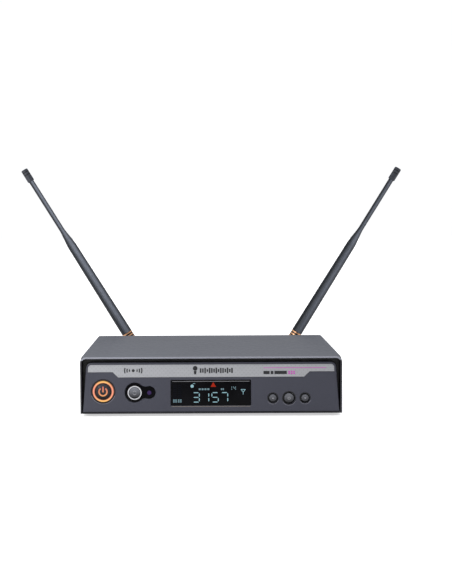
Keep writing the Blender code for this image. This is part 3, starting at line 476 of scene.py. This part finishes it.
def smoked_window():
    """Nearly black gloss with a faint haze."""
    look = Look("smoked_window", (0.002, 0.002, 0.003), 0.08, 0.0, 0.05)
    haze = look.spread(look.noise(90.0), 0.0, 1.0)
    look.colour(look.blend(haze, (0.0016, 0.0016, 0.0020), (0.0030, 0.0030, 0.0038)))
    look.roughness(look.spread(look.noise(400.0, 4.0), 0.07, 0.14))
    return look.material


def gloss_cap(name, colour, middle_z=None, reach=0.004):
    """Polished plastic. With a middle height given, light and shade are painted on: a painted highlight at
    the cap's top falling to painted shade at its foot, as the domed caps show under a lamp from above."""
    look = Look(name, colour, 0.26, 0.0, 0.14)
    tone = look.spread(look.noise(400.0), 0.0, 1.0)
    plain = look.blend(tone, tuple(c * 0.85 for c in colour), tuple(c * 1.15 for c in colour))
    if middle_z is None:
        look.colour(plain)
    else:
        # painted highlight at the cap's top and painted shade at its foot
        rise = look.calc("SUBTRACT", look.axes()["Z"], middle_z - reach)
        height = look.calc("DIVIDE", rise, 2 * reach)
        dark, light = (tuple(c * share for c in colour) for share in (0.08, 2.2))
        look.colour(look.blend(height, dark, light))
    look.roughness(look.spread(look.noise(900.0, 3.0), 0.18, 0.30))
    look.bump(look.noise(1800.0), 0.00001, 0.2)
    return look.material


def lit_ring(centre_z, radius):
    """A glowing ring: yellow at its top and bottom, salmon at its sides, and dimmer
    towards both edges."""
    look = Look("lit_ring", (0.10, 0.04, 0.02), 0.4)
    height = look.calc("ABSOLUTE", look.calc("SUBTRACT", look.axes()["Z"], centre_z))
    share = look.calc("POWER", look.calc("DIVIDE", height, radius), 3.0)
    grain = look.spread(look.noise(700.0), -0.06, 0.06)
    glow = look.blend(look.calc("ADD", share, grain), (0.86, 0.25, 0.15), (1.0, 0.58, 0.08))
    offset = from_power_button(look)
    away = look.node("ShaderNodeVectorMath", {"operation": "LENGTH"}, Vector=offset)
    from_crest = look.calc("ABSOLUTE", look.calc("SUBTRACT", away.outputs["Value"], RING_GLOW_R))
    dimming = look.calc("MINIMUM", look.calc("DIVIDE", from_crest, RING_GLOW_HALF), 1.0)
    edge = look.calc("POWER", dimming, 2.5)
    look.emit(look.blend(edge, glow, (0.04, 0.011, 0.006)), 1.0)
    return look.material


def from_power_button(look):
    """The vector from the power button's middle to the shaded point."""
    x, _, z = look.axes()
    across = look.calc("SUBTRACT", x, POWER_XZ[0])
    up = look.calc("SUBTRACT", z, POWER_XZ[1])
    return look.node("ShaderNodeCombineXYZ", X=across, Z=up).outputs[0]


def lit_mark(name, colour, strength):
    """A glowing segment with a faint cell pattern."""
    look = Look(name, tuple(c * 0.03 for c in colour), 0.5, 0.0, 0.03)
    cells = look.spread(look.noise(1500.0), 0.0, 1.0)
    glow = look.blend(cells, tuple(c * 0.85 for c in colour), colour)
    look.emit(glow, strength)
    return look.material


def circuit_board():
    """Green solder resist with paler tracks and scattered pads."""
    look = Look("circuit_board", (0.02, 0.14, 0.06), 0.4)
    tracks = look.node("ShaderNodeTexBrick", Vector=look.place, Scale=120.0)
    cells = look.node("ShaderNodeTexVoronoi", Vector=look.place, Scale=420.0)
    pads = look.calc("LESS_THAN", cells.outputs["Distance"], 0.16)
    tracks.inputs["Color1"].default_value = (0.015, 0.11, 0.045, 1)
    tracks.inputs["Color2"].default_value = (0.020, 0.14, 0.060, 1)
    tracks.inputs["Mortar"].default_value = (0.035, 0.22, 0.10, 1)
    look.colour(look.blend(pads, tracks.outputs["Color"], (0.55, 0.53, 0.45)))
    look.roughness(look.spread(look.noise(300.0), 0.32, 0.5))
    return look.material


def ribbon():
    """Flat cable: parallel wires side by side along X, with painted shade in the valleys between them."""
    look = Look("ribbon", (0.45, 0.45, 0.46), 0.55)
    wires = look.calc("FRACT", look.calc("DIVIDE", look.axes()["X"], 0.00127))
    ridge = look.calc("SINE", look.calc("MULTIPLY", wires, math.pi))
    # painted shade: darker in the valleys between the wires
    look.colour(look.blend(ridge, (0.22, 0.22, 0.23), (0.50, 0.50, 0.51)))
    look.bump(ridge, 0.0002, 0.8)
    return look.material


def stage_floor():
    """White paper that also glows a little, so that shadows on it stay faint."""
    look = Look("stage_floor", (0.80, 0.80, 0.805), 0.7)
    look.roughness(look.spread(look.noise(6.0), 0.66, 0.74))
    look.emit((1.0, 1.0, 1.0), 0.55)
    return look.material


def dress_cad_nodes():
    """Gives every CAD node its worked material."""
    low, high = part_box("power_light_ring")
    looks = {
        "case": cover_paint(),
        "chassis": powder_coat("chassis_paint", CHASSIS_PAINT, 0.5).material,
        "panel": panel_paint(),
        "label": silver_label(),
        "window": smoked_window(),
        "key": gloss_cap("key_plastic", (0.048, 0.049, 0.055), KEY_Z, 0.0038),
        "sync": gloss_cap("sync_plastic", (0.060, 0.062, 0.070), SYNC_XZ[1], 0.0040),
        "power": gloss_cap("power_plastic", (0.012, 0.012, 0.015), POWER_XZ[1], 0.0060),
        "ring": lit_ring((low.z + high.z) / 2, (high.z - low.z) / 2),
        "chrome": plated("chrome", (0.42, 0.42, 0.44), 0.22),
        "nickel": plated("nickel", (0.56, 0.55, 0.53), 0.26, (1, 0.05, 1)),
        "steel": plated("zinc_steel", (0.50, 0.50, 0.51), 0.34),
        "rubber": rubber_with_highlight(),
        "left_rings": ringed_ferrule("left_rings", "left"),
        "right_rings": ringed_ferrule("right_rings", "right"),
        "left_tip": grooved_tip("left_tip", "left"),
        "right_tip": grooved_tip("right_tip", "right"),
        "board": circuit_board(),
        "plastic": moulded("black_plastic", (0.022, 0.022, 0.024), 0.45),
        "foot": moulded("foot_rubber", (0.022, 0.022, 0.023), 0.85, 900.0, 0.0001),
        "emitter": gloss_cap("ir_emitter", (0.055, 0.032, 0.13)),
        "ribbon": ribbon(),
    }
    by_start = {
        "top_cover": "case",
        "chassis": "chassis",
        "front_panel": "panel",
        "label_strip": "label",
        "display_window": "window",
        "ir_window": "window",
        "ir_led": "emitter",
        "power_button": "power",
        "power_light_ring": "ring",
        "sync_button_trim": "chrome",
        "sync_button": "sync",
        "up_button": "key",
        "set_button": "key",
        "down_button": "key",
        "main_board_screw": "steel",
        "main_board": "board",
        "display_board": "board",
        "tuner_can": "nickel",
        "ribbon_cable": "ribbon",
        "foot_": "foot",
        "cover_screw": "steel",
        "xlr_screw": "steel",
        "elbow_pin": "steel",
        "antenna_socket": "nickel",
        "bayonet_nut": "nickel",
        "plug_body": "nickel",
        "antenna_tip_left": "left_tip",
        "antenna_tip_right": "right_tip",
        "antenna_": "rubber",
        "ring_ferrule_left": "left_rings",
        "ring_ferrule_right": "right_rings",
    }
    for name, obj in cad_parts.items():
        kind = next((look for start, look in by_start.items() if name.startswith(start)), "plastic")
        for index in range(max(len(obj.data.materials), 1)):
            if obj.data.materials:
                obj.data.materials[index] = looks[kind]
            else:
                obj.data.materials.append(looks[kind])


# ------------------------------------------------------------------------ mesh helpers
def new_piece(name, shape, material, body):
    """Makes a named piece of a shape, riding on a body."""
    mesh = bpy.data.meshes.new(name)
    shape.to_mesh(mesh)
    shape.free()
    mesh.materials.append(material)
    mesh.shade_smooth()
    mesh.set_sharp_from_angle(angle=math.radians(35))
    piece = bpy.data.objects.new(name, mesh)
    bpy.context.scene.collection.objects.link(piece)
    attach(piece, body)
    return piece


def arc(centre, radius, start, end, steps):
    """Points round an arc, angles in degrees."""
    angles = [math.radians(start + (end - start) * i / steps) for i in range(steps + 1)]
    return [(centre[0] + radius * math.cos(a), centre[1] + radius * math.sin(a)) for a in angles]


def rectangle(x0, z0, x1, z1):
    """The corners of an upright rectangle, from its left foot to its right top."""
    return [(x0, z0), (x1, z0), (x1, z1), (x0, z1)]


def arc_band(centre, inner, outer, start, end, steps=20):
    """The outline of a stroke that follows an arc."""
    return arc(centre, outer, start, end, steps) + arc(centre, inner, end, start, steps)


def print_on(surface, outlines, thickness=PRINT_THICK):
    """Thin plates of (x, z) outlines, in front of a surface given as y at (x, z)."""
    shape = bmesh.new()
    for outline in outlines:
        back = [shape.verts.new((x, surface(x, z) - LIFT + thickness, z)) for x, z in outline]
        front = [shape.verts.new((x, surface(x, z) - LIFT, z)) for x, z in outline]
        shape.faces.new(back)
        shape.faces.new(front)
        for i in range(len(back)):
            shape.faces.new((back[i - 1], back[i], front[i], front[i - 1]))
    bmesh.ops.recalc_face_normals(shape, faces=shape.faces)
    return shape


def leaning_surface(node):
    """The leaning front of a plate node, as y at (x, z)."""
    slope = math.tan(PANEL_LEAN)
    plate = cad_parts[node]
    corners = [plate.matrix_world @ corner.co for corner in plate.data.vertices]
    foot = min(corner.y - slope * corner.z for corner in corners)
    return lambda x, z: foot + slope * z


def ring_of_bars(centre, radius, height, y0, y1, count, width):
    """Small ridges side by side round a drum whose axis runs along Y."""
    shape = bmesh.new()
    for index in range(count):
        turn = 2 * math.pi * index / count
        out = Vector((math.cos(turn), 0, math.sin(turn)))
        side = Vector((-math.sin(turn), 0, math.cos(turn))) * width / 2
        base = Vector((centre[0], 0, centre[1]))
        foot, crest = base + out * (radius - height), base + out * (radius + height)
        corners = [foot - side, foot + side, crest + side * 0.3, crest - side * 0.3]
        near = [shape.verts.new(corner + Vector((0, y0, 0))) for corner in corners]
        far = [shape.verts.new(corner + Vector((0, y1, 0))) for corner in corners]
        shape.faces.new(near)
        shape.faces.new(far)
        for i in range(4):
            shape.faces.new((near[i - 1], near[i], far[i], far[i - 1]))
    bmesh.ops.recalc_face_normals(shape, faces=shape.faces)
    return shape


def along_y(rings, steps=24):
    """A closed body of revolution; rings are (centre x, centre z, radius, y)."""
    shape = bmesh.new()
    loops = []
    for x, z, radius, y in rings:
        circle = arc((x, z), radius, 0, 360 - 360 / steps, steps - 1)
        loops.append([shape.verts.new((px, y, pz)) for px, pz in circle])
    shape.faces.new(loops[0])
    shape.faces.new(loops[-1])
    for near, far in zip(loops, loops[1:]):
        for i in range(steps):
            shape.faces.new((near[i - 1], near[i], far[i], far[i - 1]))
    bmesh.ops.recalc_face_normals(shape, faces=shape.faces)
    return shape


def merged(shapes):
    """One shape of several."""
    whole = shapes[0]
    for other in shapes[1:]:
        mesh = bpy.data.meshes.new("part")
        other.to_mesh(mesh)
        other.free()
        whole.from_mesh(mesh)
        bpy.data.meshes.remove(mesh)
    return whole


def solid_block(low, high):
    """A block between two corners, as part of a larger piece."""
    shape = bmesh.new()
    bmesh.ops.create_cube(shape, size=1.0)
    size = [high[i] - low[i] for i in range(3)]
    centre = [(high[i] + low[i]) / 2 for i in range(3)]
    bmesh.ops.scale(shape, vec=size, verts=shape.verts)
    bmesh.ops.translate(shape, vec=centre, verts=shape.verts)
    return shape


# ----------------------------------------------------------------------- display marks
def figure_outlines(figure, left, bottom, width, height, stroke):
    """The lit segments of one seven-segment figure, as six-cornered bars."""
    waist = bottom + height / 2
    half = stroke / 2
    right, top = left + width, bottom + height
    gap = DIGIT_GAP * height / DIGIT_HEIGHT

    def level(z):
        start, end = left + half + gap, right - half - gap
        return [
            (start, z),
            (start + half, z - half),
            (end - half, z - half),
            (end, z),
            (end - half, z + half),
            (start + half, z + half),
        ]

    def upright(x, low, high):
        start, end = low + gap, high - gap
        return [
            (x, start),
            (x + half, start + half),
            (x + half, end - half),
            (x, end),
            (x - half, end - half),
            (x - half, start + half),
        ]

    bars = [
        level(top - half),
        upright(right - half, waist, top - half),
        upright(right - half, bottom + half, waist),
        level(bottom + half),
        upright(left + half, bottom + half, waist),
        upright(left + half, waist, top - half),
        level(waist),
    ]
    return [bar for bar, lit in zip(bars, SEGMENTS[figure]) if lit == "1"]


def make_display():
    """All marks on the display window, lit and unlit."""
    surface = leaning_surface("display_window")
    cyan = lit_mark("segment_cyan", (0.30, 0.51, 0.57), 1.0)
    dim = lit_mark("segment_dim", (0.17, 0.27, 0.31), 1.0)
    ghost = lit_mark("segment_ghost", (0.0040, 0.0045, 0.0075), 1.0)
    red = lit_mark("segment_red", (0.38, 0.022, 0.008), 1.0)
    left, bottom = ALERT_XZ
    alert = [(left, bottom), (left + ALERT_WIDTH, bottom), (left + ALERT_WIDTH / 2, bottom + ALERT_HEIGHT)]
    marks = (
        ("display_figures", large_figures(), cyan),
        ("display_small_marks", small_figures() + status_cells(), dim),
        ("display_icons", padlock(PADLOCK_XZ) + aerial_sign(AERIAL_SIGN_XZ), cyan),
        ("display_level_feet", level_feet(), dim),
        ("display_idle_bars", idle_bars(), ghost),
        ("display_alert", [alert], red),
    )
    for name, outlines, look in marks:
        new_piece(name, print_on(surface, outlines), look, "unit")
    make_window_edges()


def large_figures():
    outlines = []
    for index, figure in enumerate(READOUT):
        left = READOUT_XZ[0] + index * DIGIT_PITCH
        outlines += figure_outlines(figure, left, READOUT_XZ[1], DIGIT_WIDTH, DIGIT_HEIGHT, DIGIT_STROKE)
    return outlines


def small_figures():
    outlines = []
    size = (SMALL_DIGIT_WIDTH, SMALL_DIGIT_HEIGHT, SMALL_DIGIT_STROKE)
    for index, figure in enumerate(SMALL_READOUT):
        left = SMALL_READOUT_XZ[0] + index * SMALL_DIGIT_PITCH
        outlines += figure_outlines(figure, left, SMALL_READOUT_XZ[1], *size)
    return outlines


def status_cells():
    """A row of four plain cells, and two short ones."""
    low, high = STATUS_Z
    lefts = [STATUS_LEFT + index * STATUS_PITCH for index in range(4)]
    cells = [rectangle(left, low, left + STATUS_WIDTH, high) for left in lefts]
    return cells + [rectangle(left, low, left + SHORT_STATUS_WIDTH, high) for left in SHORT_STATUS_LEFTS]


def level_feet():
    """Two by two small cells under each column of level bars."""
    cells = []
    for column in LEVEL_LEFTS:
        for row in range(2):
            for place in range(2):
                left = column + place * CELL_PITCH[0]
                low = LEVEL_FOOT_Z + row * CELL_PITCH[1]
                cells.append(rectangle(left, low, left + CELL_WIDTH, low + CELL_HEIGHT))
    return cells


def idle_bars():
    bars = []
    for left in LEVEL_LEFTS:
        for step in range(BAR_COUNT):
            low = BARS_Z + step * BAR_PITCH
            bars.append(rectangle(left, low, left + BAR_WIDTH, low + BAR_HEIGHT))
    return bars


def make_window_edges():
    """Painted highlights: the light line that the window's top edge catches, and the one on its seat."""
    low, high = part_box("display_window")
    # painted highlight: a pale strip along the window's top edge
    edge = moulded("window_edge", (0.12, 0.12, 0.125), 0.4)
    surface = leaning_surface("display_window")
    line_low = high.z - 0.0011
    top = rectangle(low.x + 0.0010, line_low, high.x - 0.0010, line_low + EDGE_LINE)
    new_piece("window_top_edge", print_on(surface, [top]), edge, "unit")
    # painted highlight: a warm pale strip on the window's seat below it
    seat_highlight = moulded("window_seat", (0.13, 0.115, 0.10), 0.4)
    seat_low = low.z - 0.0010
    seat = rectangle(low.x + 0.0004, seat_low, high.x - 0.0004, seat_low + EDGE_LINE)
    panel = leaning_surface("front_panel")
    new_piece("window_seat_edge", print_on(panel, [seat]), seat_highlight, "unit")


def make_control_surrounds():
    """Painted shade as dark wells and painted highlights as pale lower lips round the buttons,
    and the lens over the infrared light."""
    panel = leaning_surface("front_panel")
    dark = moulded("well_shade", (0.006, 0.006, 0.007), 0.5)
    pale = moulded("lip_highlight", (0.10, 0.10, 0.125), 0.4)
    # painted shade in the wells round the buttons, painted highlights on their lower lips
    wells = [arc_band(POWER_XZ, *POWER_WELL, 0, 359, 48)]
    lips = [arc_band(POWER_XZ, *POWER_LIP, 200, 340, 30)]
    for name, radius in KEY_HOLE_R.items():
        centre = (node_middle(f"{name}_button")[0], KEY_Z)
        well_inner, well_outer = (radius + beyond for beyond in KEY_WELL)
        lip_inner, lip_outer = (radius + beyond for beyond in KEY_LIP)
        wells.append(arc_band(centre, well_inner, well_outer, 0, 359, 36))
        lips.append(arc_band(centre, lip_inner, lip_outer, 215, 335, 20))
    new_piece("control_wells", print_on(panel, wells), dark, "unit")
    new_piece("control_lips", print_on(panel, lips), pale, "unit")
    violet = gloss_cap("ir_lens", (0.022, 0.010, 0.052))
    lens = [arc(IR_XZ, IR_LENS_R, 0, 345, 24)]
    new_piece("ir_lens", print_on(leaning_surface("ir_window"), lens), violet, "unit")


def padlock(centre):
    """A round body with an open shackle."""
    x, z = centre
    body = arc((x, z), 0.0013, 0, 350, 20)
    shackle = arc_band((x + 0.0016, z + 0.0014), 0.0007, 0.0010, 20, 170, 8)
    return [body, shackle]


def aerial_sign(foot):
    """A mast under an open triangle."""
    x, z = foot
    mast = rectangle(x - 0.0002, z, x + 0.0002, z + 0.0022)
    left = [(x, z + 0.0014), (x - 0.0019, z + 0.0040), (x - 0.0014, z + 0.0040), (x, z + 0.0021)]
    right = [(2 * x - px, pz) for px, pz in left[::-1]]
    top = rectangle(x - 0.0019, z + 0.0038, x + 0.0019, z + 0.0042)
    return [mast, left, right, top]


# ------------------------------------------------------------------------ printed marks
def make_label_print():
    """Plain signs on the silver strip, in place of any lettering."""
    surface = leaning_surface("label_strip")
    ink = moulded("label_ink", (0.012, 0.012, 0.014), 0.4)
    pink = moulded("label_magenta", (0.36, 0.035, 0.30), 0.45)
    low, high = PLAIN_BAR_Z
    signs = wave_sign() + microphone(MICROPHONE_XZ) + sound_bars()
    signs += [rectangle(left, low, left + width, high) for left, width in PLAIN_BARS]
    new_piece("label_signs", print_on(surface, signs), ink, "unit")
    lines = [rectangle(LINE_X[0], LINE_Z[0], LINE_X[1], LINE_Z[1])]
    for left in PINK_LEFTS:
        lines.append(rectangle(left, low, left + PINK_WIDTH, low + PINK_HEIGHT))
        lines.append(rectangle(left, high - PINK_HEIGHT, left + PINK_WIDTH, high))
    new_piece("label_line", print_on(surface, lines), pink, "unit")


def wave_sign():
    """A dot with radio waves going out to both sides."""
    outlines = [arc(WAVE_XZ, 0.0012, 0, 345, 16)]
    for radius in WAVE_RADII:
        for side in (0, 180):
            start, end = side - WAVE_HALF_ANGLE, side + WAVE_HALF_ANGLE
            outlines.append(arc_band(WAVE_XZ, radius, radius + WAVE_STROKE, start, end, 10))
    return outlines


def sound_bars():
    """Upright bars of uneven height, as a sound wave is drawn."""
    outlines = []
    for step in range(SOUND_BARS):
        tall = 0.0009 + 0.0014 * abs(math.sin(step * 1.9 + 0.7))
        left = SOUND_XZ[0] + step * SOUND_PITCH
        outlines.append(rectangle(left, SOUND_XZ[1] - tall, left + SOUND_WIDTH, SOUND_XZ[1] + tall))
    return outlines


def microphone(centre):
    """A hand microphone sign: a round head on a tapered handle."""
    x, z = centre
    head = arc((x, z + 0.0014), 0.0019, 0, 345, 20)
    right = [(x + 0.0012, z - 0.0007), (x + 0.0007, z - 0.0034)]
    left = [(2 * x - px, pz) for px, pz in right[::-1]]
    return [head, right + left]


def on_dome(node, rim_drop):
    """A domed cap's front as y at (x, z), from the node's own box."""
    low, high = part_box(node)
    centre = ((low.x + high.x) / 2, (low.z + high.z) / 2)
    radius = (high.x - low.x) / 2

    def surface(x, z):
        share = math.hypot(x - centre[0], z - centre[1]) / radius
        return low.y + rim_drop * share

    return surface, centre


def make_button_signs():
    """Plain signs on the power, sync, up, set and down buttons."""
    glow = lit_sign()
    surface, (x, z) = on_dome("power_button", 0.0004)
    sign = [
        arc_band((x, z), 0.0026, 0.0038, 125, 415, 28),
        rectangle(x - 0.0006, z - 0.0004, x + 0.0006, z + 0.0042),
    ]
    new_piece("power_sign", print_on(surface, sign), glow, "power_key")
    pale = moulded("key_ink", (0.17, 0.17, 0.185), 0.4)
    for name, turn in (("up", 1), ("down", -1)):
        surface, (x, z) = on_dome(f"{name}_button", 0.0002)
        foot, tip = z - 0.0006 * turn, z + 0.0009 * turn
        arrow = [(x - 0.0009 * turn, foot), (x + 0.0009 * turn, foot), (x, tip)]
        new_piece(f"{name}_sign", print_on(surface, [arrow]), pale, f"{name}_key")
    surface, (x, z) = on_dome("set_button", 0.0002)
    dot = [arc_band((x, z), 0.0007, 0.0012, 0, 359, 24)]
    new_piece("set_sign", print_on(surface, dot), pale, "set_key")
    surface, (x, z) = on_dome("sync_button", 0.0002)
    arrows = [arc_band((x, z), 0.0012, 0.0017, start, start + 130, 12) for start in (20, 200)]
    new_piece("sync_sign", print_on(surface, arrows), pale, "sync_key")


def lit_sign():
    """The power sign's glow, from salmon at its top to amber at its foot."""
    low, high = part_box("power_button")
    look = Look("power_sign_glow", (0.08, 0.03, 0.02), 0.4)
    drop = look.calc("SUBTRACT", high.z - 0.0024, look.axes()["Z"])
    share = look.calc("DIVIDE", drop, high.z - low.z - 0.0048)
    glow = look.blend(share, (0.70, 0.13, 0.08), (0.90, 0.36, 0.08))
    look.emit(glow, 0.7)
    return look.material


# ----------------------------------------------------------------------- rear and inside
def make_knurls():
    """Grip ridges on the bayonet nuts and on the level knob, and the knob's line."""
    metal = plated("knurl_nickel", (0.56, 0.55, 0.53), 0.26)
    for name, x in AERIAL_X.items():
        bands = [
            ring_of_bars((x, AERIAL_Z), NUT_KNURL_R, 0.0002, REAR_Y + near, REAR_Y + far, 36, KNURL_WIDTH)
            for near, far in NUT_KNURL_BANDS
        ]
        new_piece(f"knurl_{name}", merged(bands), metal, f"{name}_nut")
    grip = moulded("knob_grip", (0.022, 0.022, 0.024), 0.5)
    near, far = (REAR_Y + depth for depth in KNOB_RIDGE_BAND)
    ridges = ring_of_bars((KNOB_X, AERIAL_Z), KNOB_RIDGE_R, 0.00025, near, far, 30, KNURL_WIDTH)
    new_piece("level_knob_ridges", ridges, grip, "level_control")
    low = (KNOB_X - 0.0003, REAR_Y + KNOB_FACE - 0.0003, AERIAL_Z + KNOB_LINE_Z[0])
    high = (KNOB_X + 0.0003, REAR_Y + KNOB_FACE, AERIAL_Z + KNOB_LINE_Z[1])
    white = moulded("knob_line", (0.7, 0.7, 0.7), 0.5)
    new_piece("level_knob_line", solid_block(low, high), white, "level_control")


def make_contacts():
    """Metal on the contacts of the rear sockets."""
    metal = plated("contact_metal", (0.62, 0.58, 0.50), 0.22)
    pins = []
    for degrees in (30, 150, 270):
        turn = math.radians(degrees)
        x = XLR_XZ[0] - XLR_PIN_CIRCLE_R * math.cos(turn)
        z = XLR_XZ[1] + XLR_PIN_CIRCLE_R * math.sin(turn)
        pins.append(pin_sleeve(x, z, XLR_PIN_R, REAR_Y - 0.0130, REAR_Y - 0.0022))
    new_piece("xlr_pin_sleeves", merged(pins), metal, "unit")
    sleeve = pin_sleeve(*DC_XZ, DC_PIN_R, REAR_Y - 0.0095, REAR_Y - 0.0008)
    new_piece("dc_pin_sleeve", sleeve, metal, "unit")
    trim = thick_ring((JACK_X, AERIAL_Z), *JACK_TRIM, REAR_Y + 0.0027, REAR_Y + 0.0031)
    new_piece("phone_jack_trim", trim, metal, "unit")


def pin_sleeve(x, z, radius, root, tip):
    """A bright sleeve over a contact pin along Y, with a small bevel at its tip."""
    rings = [(x, z, radius, root), (x, z, radius, tip - 0.0004), (x, z, radius * 0.72, tip)]
    return along_y(rings, 16)


def thick_ring(centre, inner, outer, y0, y1, steps=32):
    """A flat ring whose axis runs along Y."""
    shape = bmesh.new()
    loops = []
    for radius, y in ((inner, y0), (outer, y0), (outer, y1), (inner, y1)):
        circle = arc(centre, radius, 0, 360 - 360 / steps, steps - 1)
        loops.append([shape.verts.new((px, y, pz)) for px, pz in circle])
    for index in range(4):
        near, far = loops[index - 1], loops[index]
        for i in range(steps):
            shape.faces.new((near[i - 1], near[i], far[i], far[i - 1]))
    bmesh.ops.recalc_face_normals(shape, faces=shape.faces)
    return shape


def make_rear_print():
    """Plain scale marks and circles round the sockets, in place of any lettering."""
    ink = moulded("rear_ink", (0.30, 0.30, 0.32), 0.45)

    def wall(x, z):
        return REAR_Y + 2 * LIFT

    marks = []
    for step in range(SCALE_MARKS):
        turn = -60 + step * 30
        length = 0.0016 if step % 5 == 0 else 0.0009
        outer = SCALE_R + length
        marks.append(arc_band((KNOB_X, AERIAL_Z), SCALE_R, outer, turn - 1.6, turn + 1.6, 2))
    for x in AERIAL_X.values():
        marks.append(arc_band((x, AERIAL_Z), *AERIAL_CIRCLE, 0, 359, 40))
    marks.append(arc_band((JACK_X, AERIAL_Z), *JACK_CIRCLE, 0, 359, 32))
    marks.append(arc_band(DC_XZ, *DC_CIRCLE, 0, 359, 32))
    new_piece("rear_scale", print_on(wall, marks), ink, "unit")


def make_circuit_parts():
    """Chips, capacitors and a crystal on the main board."""
    chip = moulded("chip_epoxy", (0.018, 0.018, 0.020), 0.5)
    legs = plated("chip_legs", (0.62, 0.61, 0.60), 0.3)
    can = plated("crystal_can", (0.66, 0.65, 0.64), 0.25)
    sleeve = moulded("capacitor_sleeve", (0.03, 0.035, 0.06), 0.4)
    bodies, pins = [], []
    for x, y, half in CHIPS:
        low, high = (x - half, y - half, PART_FOOT), (x + half, y + half, BOARD_TOP + 0.0014)
        bodies.append(solid_block(low, high))
        pins += chip_pins(x, y, half)
    new_piece("chips", merged(bodies), chip, "unit")
    new_piece("chip_legs", merged(pins), legs, "unit")
    crystal = solid_block((-0.004, -0.034, PART_FOOT), (0.006, -0.030, BOARD_TOP + 0.0034))
    new_piece("crystal", crystal, can, "unit")
    drums = []
    for x, y, radius, height in CAPACITORS:
        drum = bmesh.new()
        top_radius = radius * 0.94
        bmesh.ops.create_cone(
            drum, cap_ends=True, segments=24, radius1=radius, radius2=top_radius, depth=height
        )
        bmesh.ops.translate(drum, vec=(x, y, PART_FOOT + height / 2), verts=drum.verts)
        drums.append(drum)
    new_piece("capacitors", merged(drums), sleeve, "unit")


def chip_pins(x, y, half):
    """The legs along two sides of a chip."""
    pins = []
    for step in range(int(2 * half / PIN_PITCH)):
        left = x - half + 0.0008 + step * PIN_PITCH
        for side in (-1, 1):
            near, far = sorted((y + side * half, y + side * (half + 0.0010)))
            low, high = (left, near, BOARD_TOP + 0.0001), (left + 0.0004, far, BOARD_TOP + 0.0007)
            pins.append(solid_block(low, high))
    return pins


# ------------------------------------------------------------------------- stage, light
def make_stage():
    """The paper floor, the sky and one soft lamp at the upper left."""
    shape = bmesh.new()
    bmesh.ops.create_grid(shape, x_segments=2, y_segments=2, size=6.0)
    mesh = bpy.data.meshes.new("floor")
    shape.to_mesh(mesh)
    shape.free()
    mesh.materials.append(stage_floor())
    floor = bpy.data.objects.new("floor", mesh)
    bpy.context.scene.collection.objects.link(floor)

    make_world()
    bpy.context.scene.view_settings.view_transform = "Standard"
    make_area_light("key_light", KEY_LIGHT_PLACE, KEY_LIGHT_SIZE, KEY_LIGHT_WATTS)


def make_world():
    """A white backdrop for the eye, and a dome that is bright overhead and dim round
    the horizon for everything it lights, so that dark gloss stays dark."""
    world = bpy.data.worlds.new("studio")
    world.use_nodes = True
    tree = world.node_tree
    shade = tree.nodes["Background"]
    place = tree.nodes.new("ShaderNodeTexCoord")
    parts = tree.nodes.new("ShaderNodeSeparateXYZ")
    dome = tree.nodes.new("ShaderNodeMapRange")
    dome.interpolation_type = "SMOOTHSTEP"
    dome.inputs["From Min"].default_value = 0.05
    dome.inputs["From Max"].default_value = 0.9
    dome.inputs["To Min"].default_value = HORIZON_LIGHT
    dome.inputs["To Max"].default_value = ZENITH_LIGHT
    rays = tree.nodes.new("ShaderNodeLightPath")
    seen = tree.nodes.new("ShaderNodeMix")
    seen.data_type = "FLOAT"
    seen.inputs[3].default_value = BACKDROP_LIGHT
    tree.links.new(place.outputs["Generated"], parts.inputs[0])
    tree.links.new(parts.outputs["Z"], dome.inputs["Value"])
    tree.links.new(rays.outputs["Is Camera Ray"], seen.inputs[0])
    tree.links.new(dome.outputs[0], seen.inputs[2])
    tree.links.new(seen.outputs[0], shade.inputs["Strength"])
    shade.inputs["Color"].default_value = (0.98, 0.985, 1.0, 1)
    bpy.context.scene.world = world


def make_area_light(name, place, size, watts):
    data = bpy.data.lights.new(name, "AREA")
    data.size = size
    data.energy = watts
    light = bpy.data.objects.new(name, data)
    bpy.context.scene.collection.objects.link(light)
    light.location = place
    towards = Vector((0, 0, 0.05)) - Vector(place)
    light.rotation_euler = towards.to_track_quat("-Z", "Y").to_euler()


make_camera()
make_stage()
dress_cad_nodes()
make_display()
make_label_print()
make_button_signs()
make_control_surrounds()
make_knurls()
make_contacts()
make_rear_print()
make_circuit_parts()
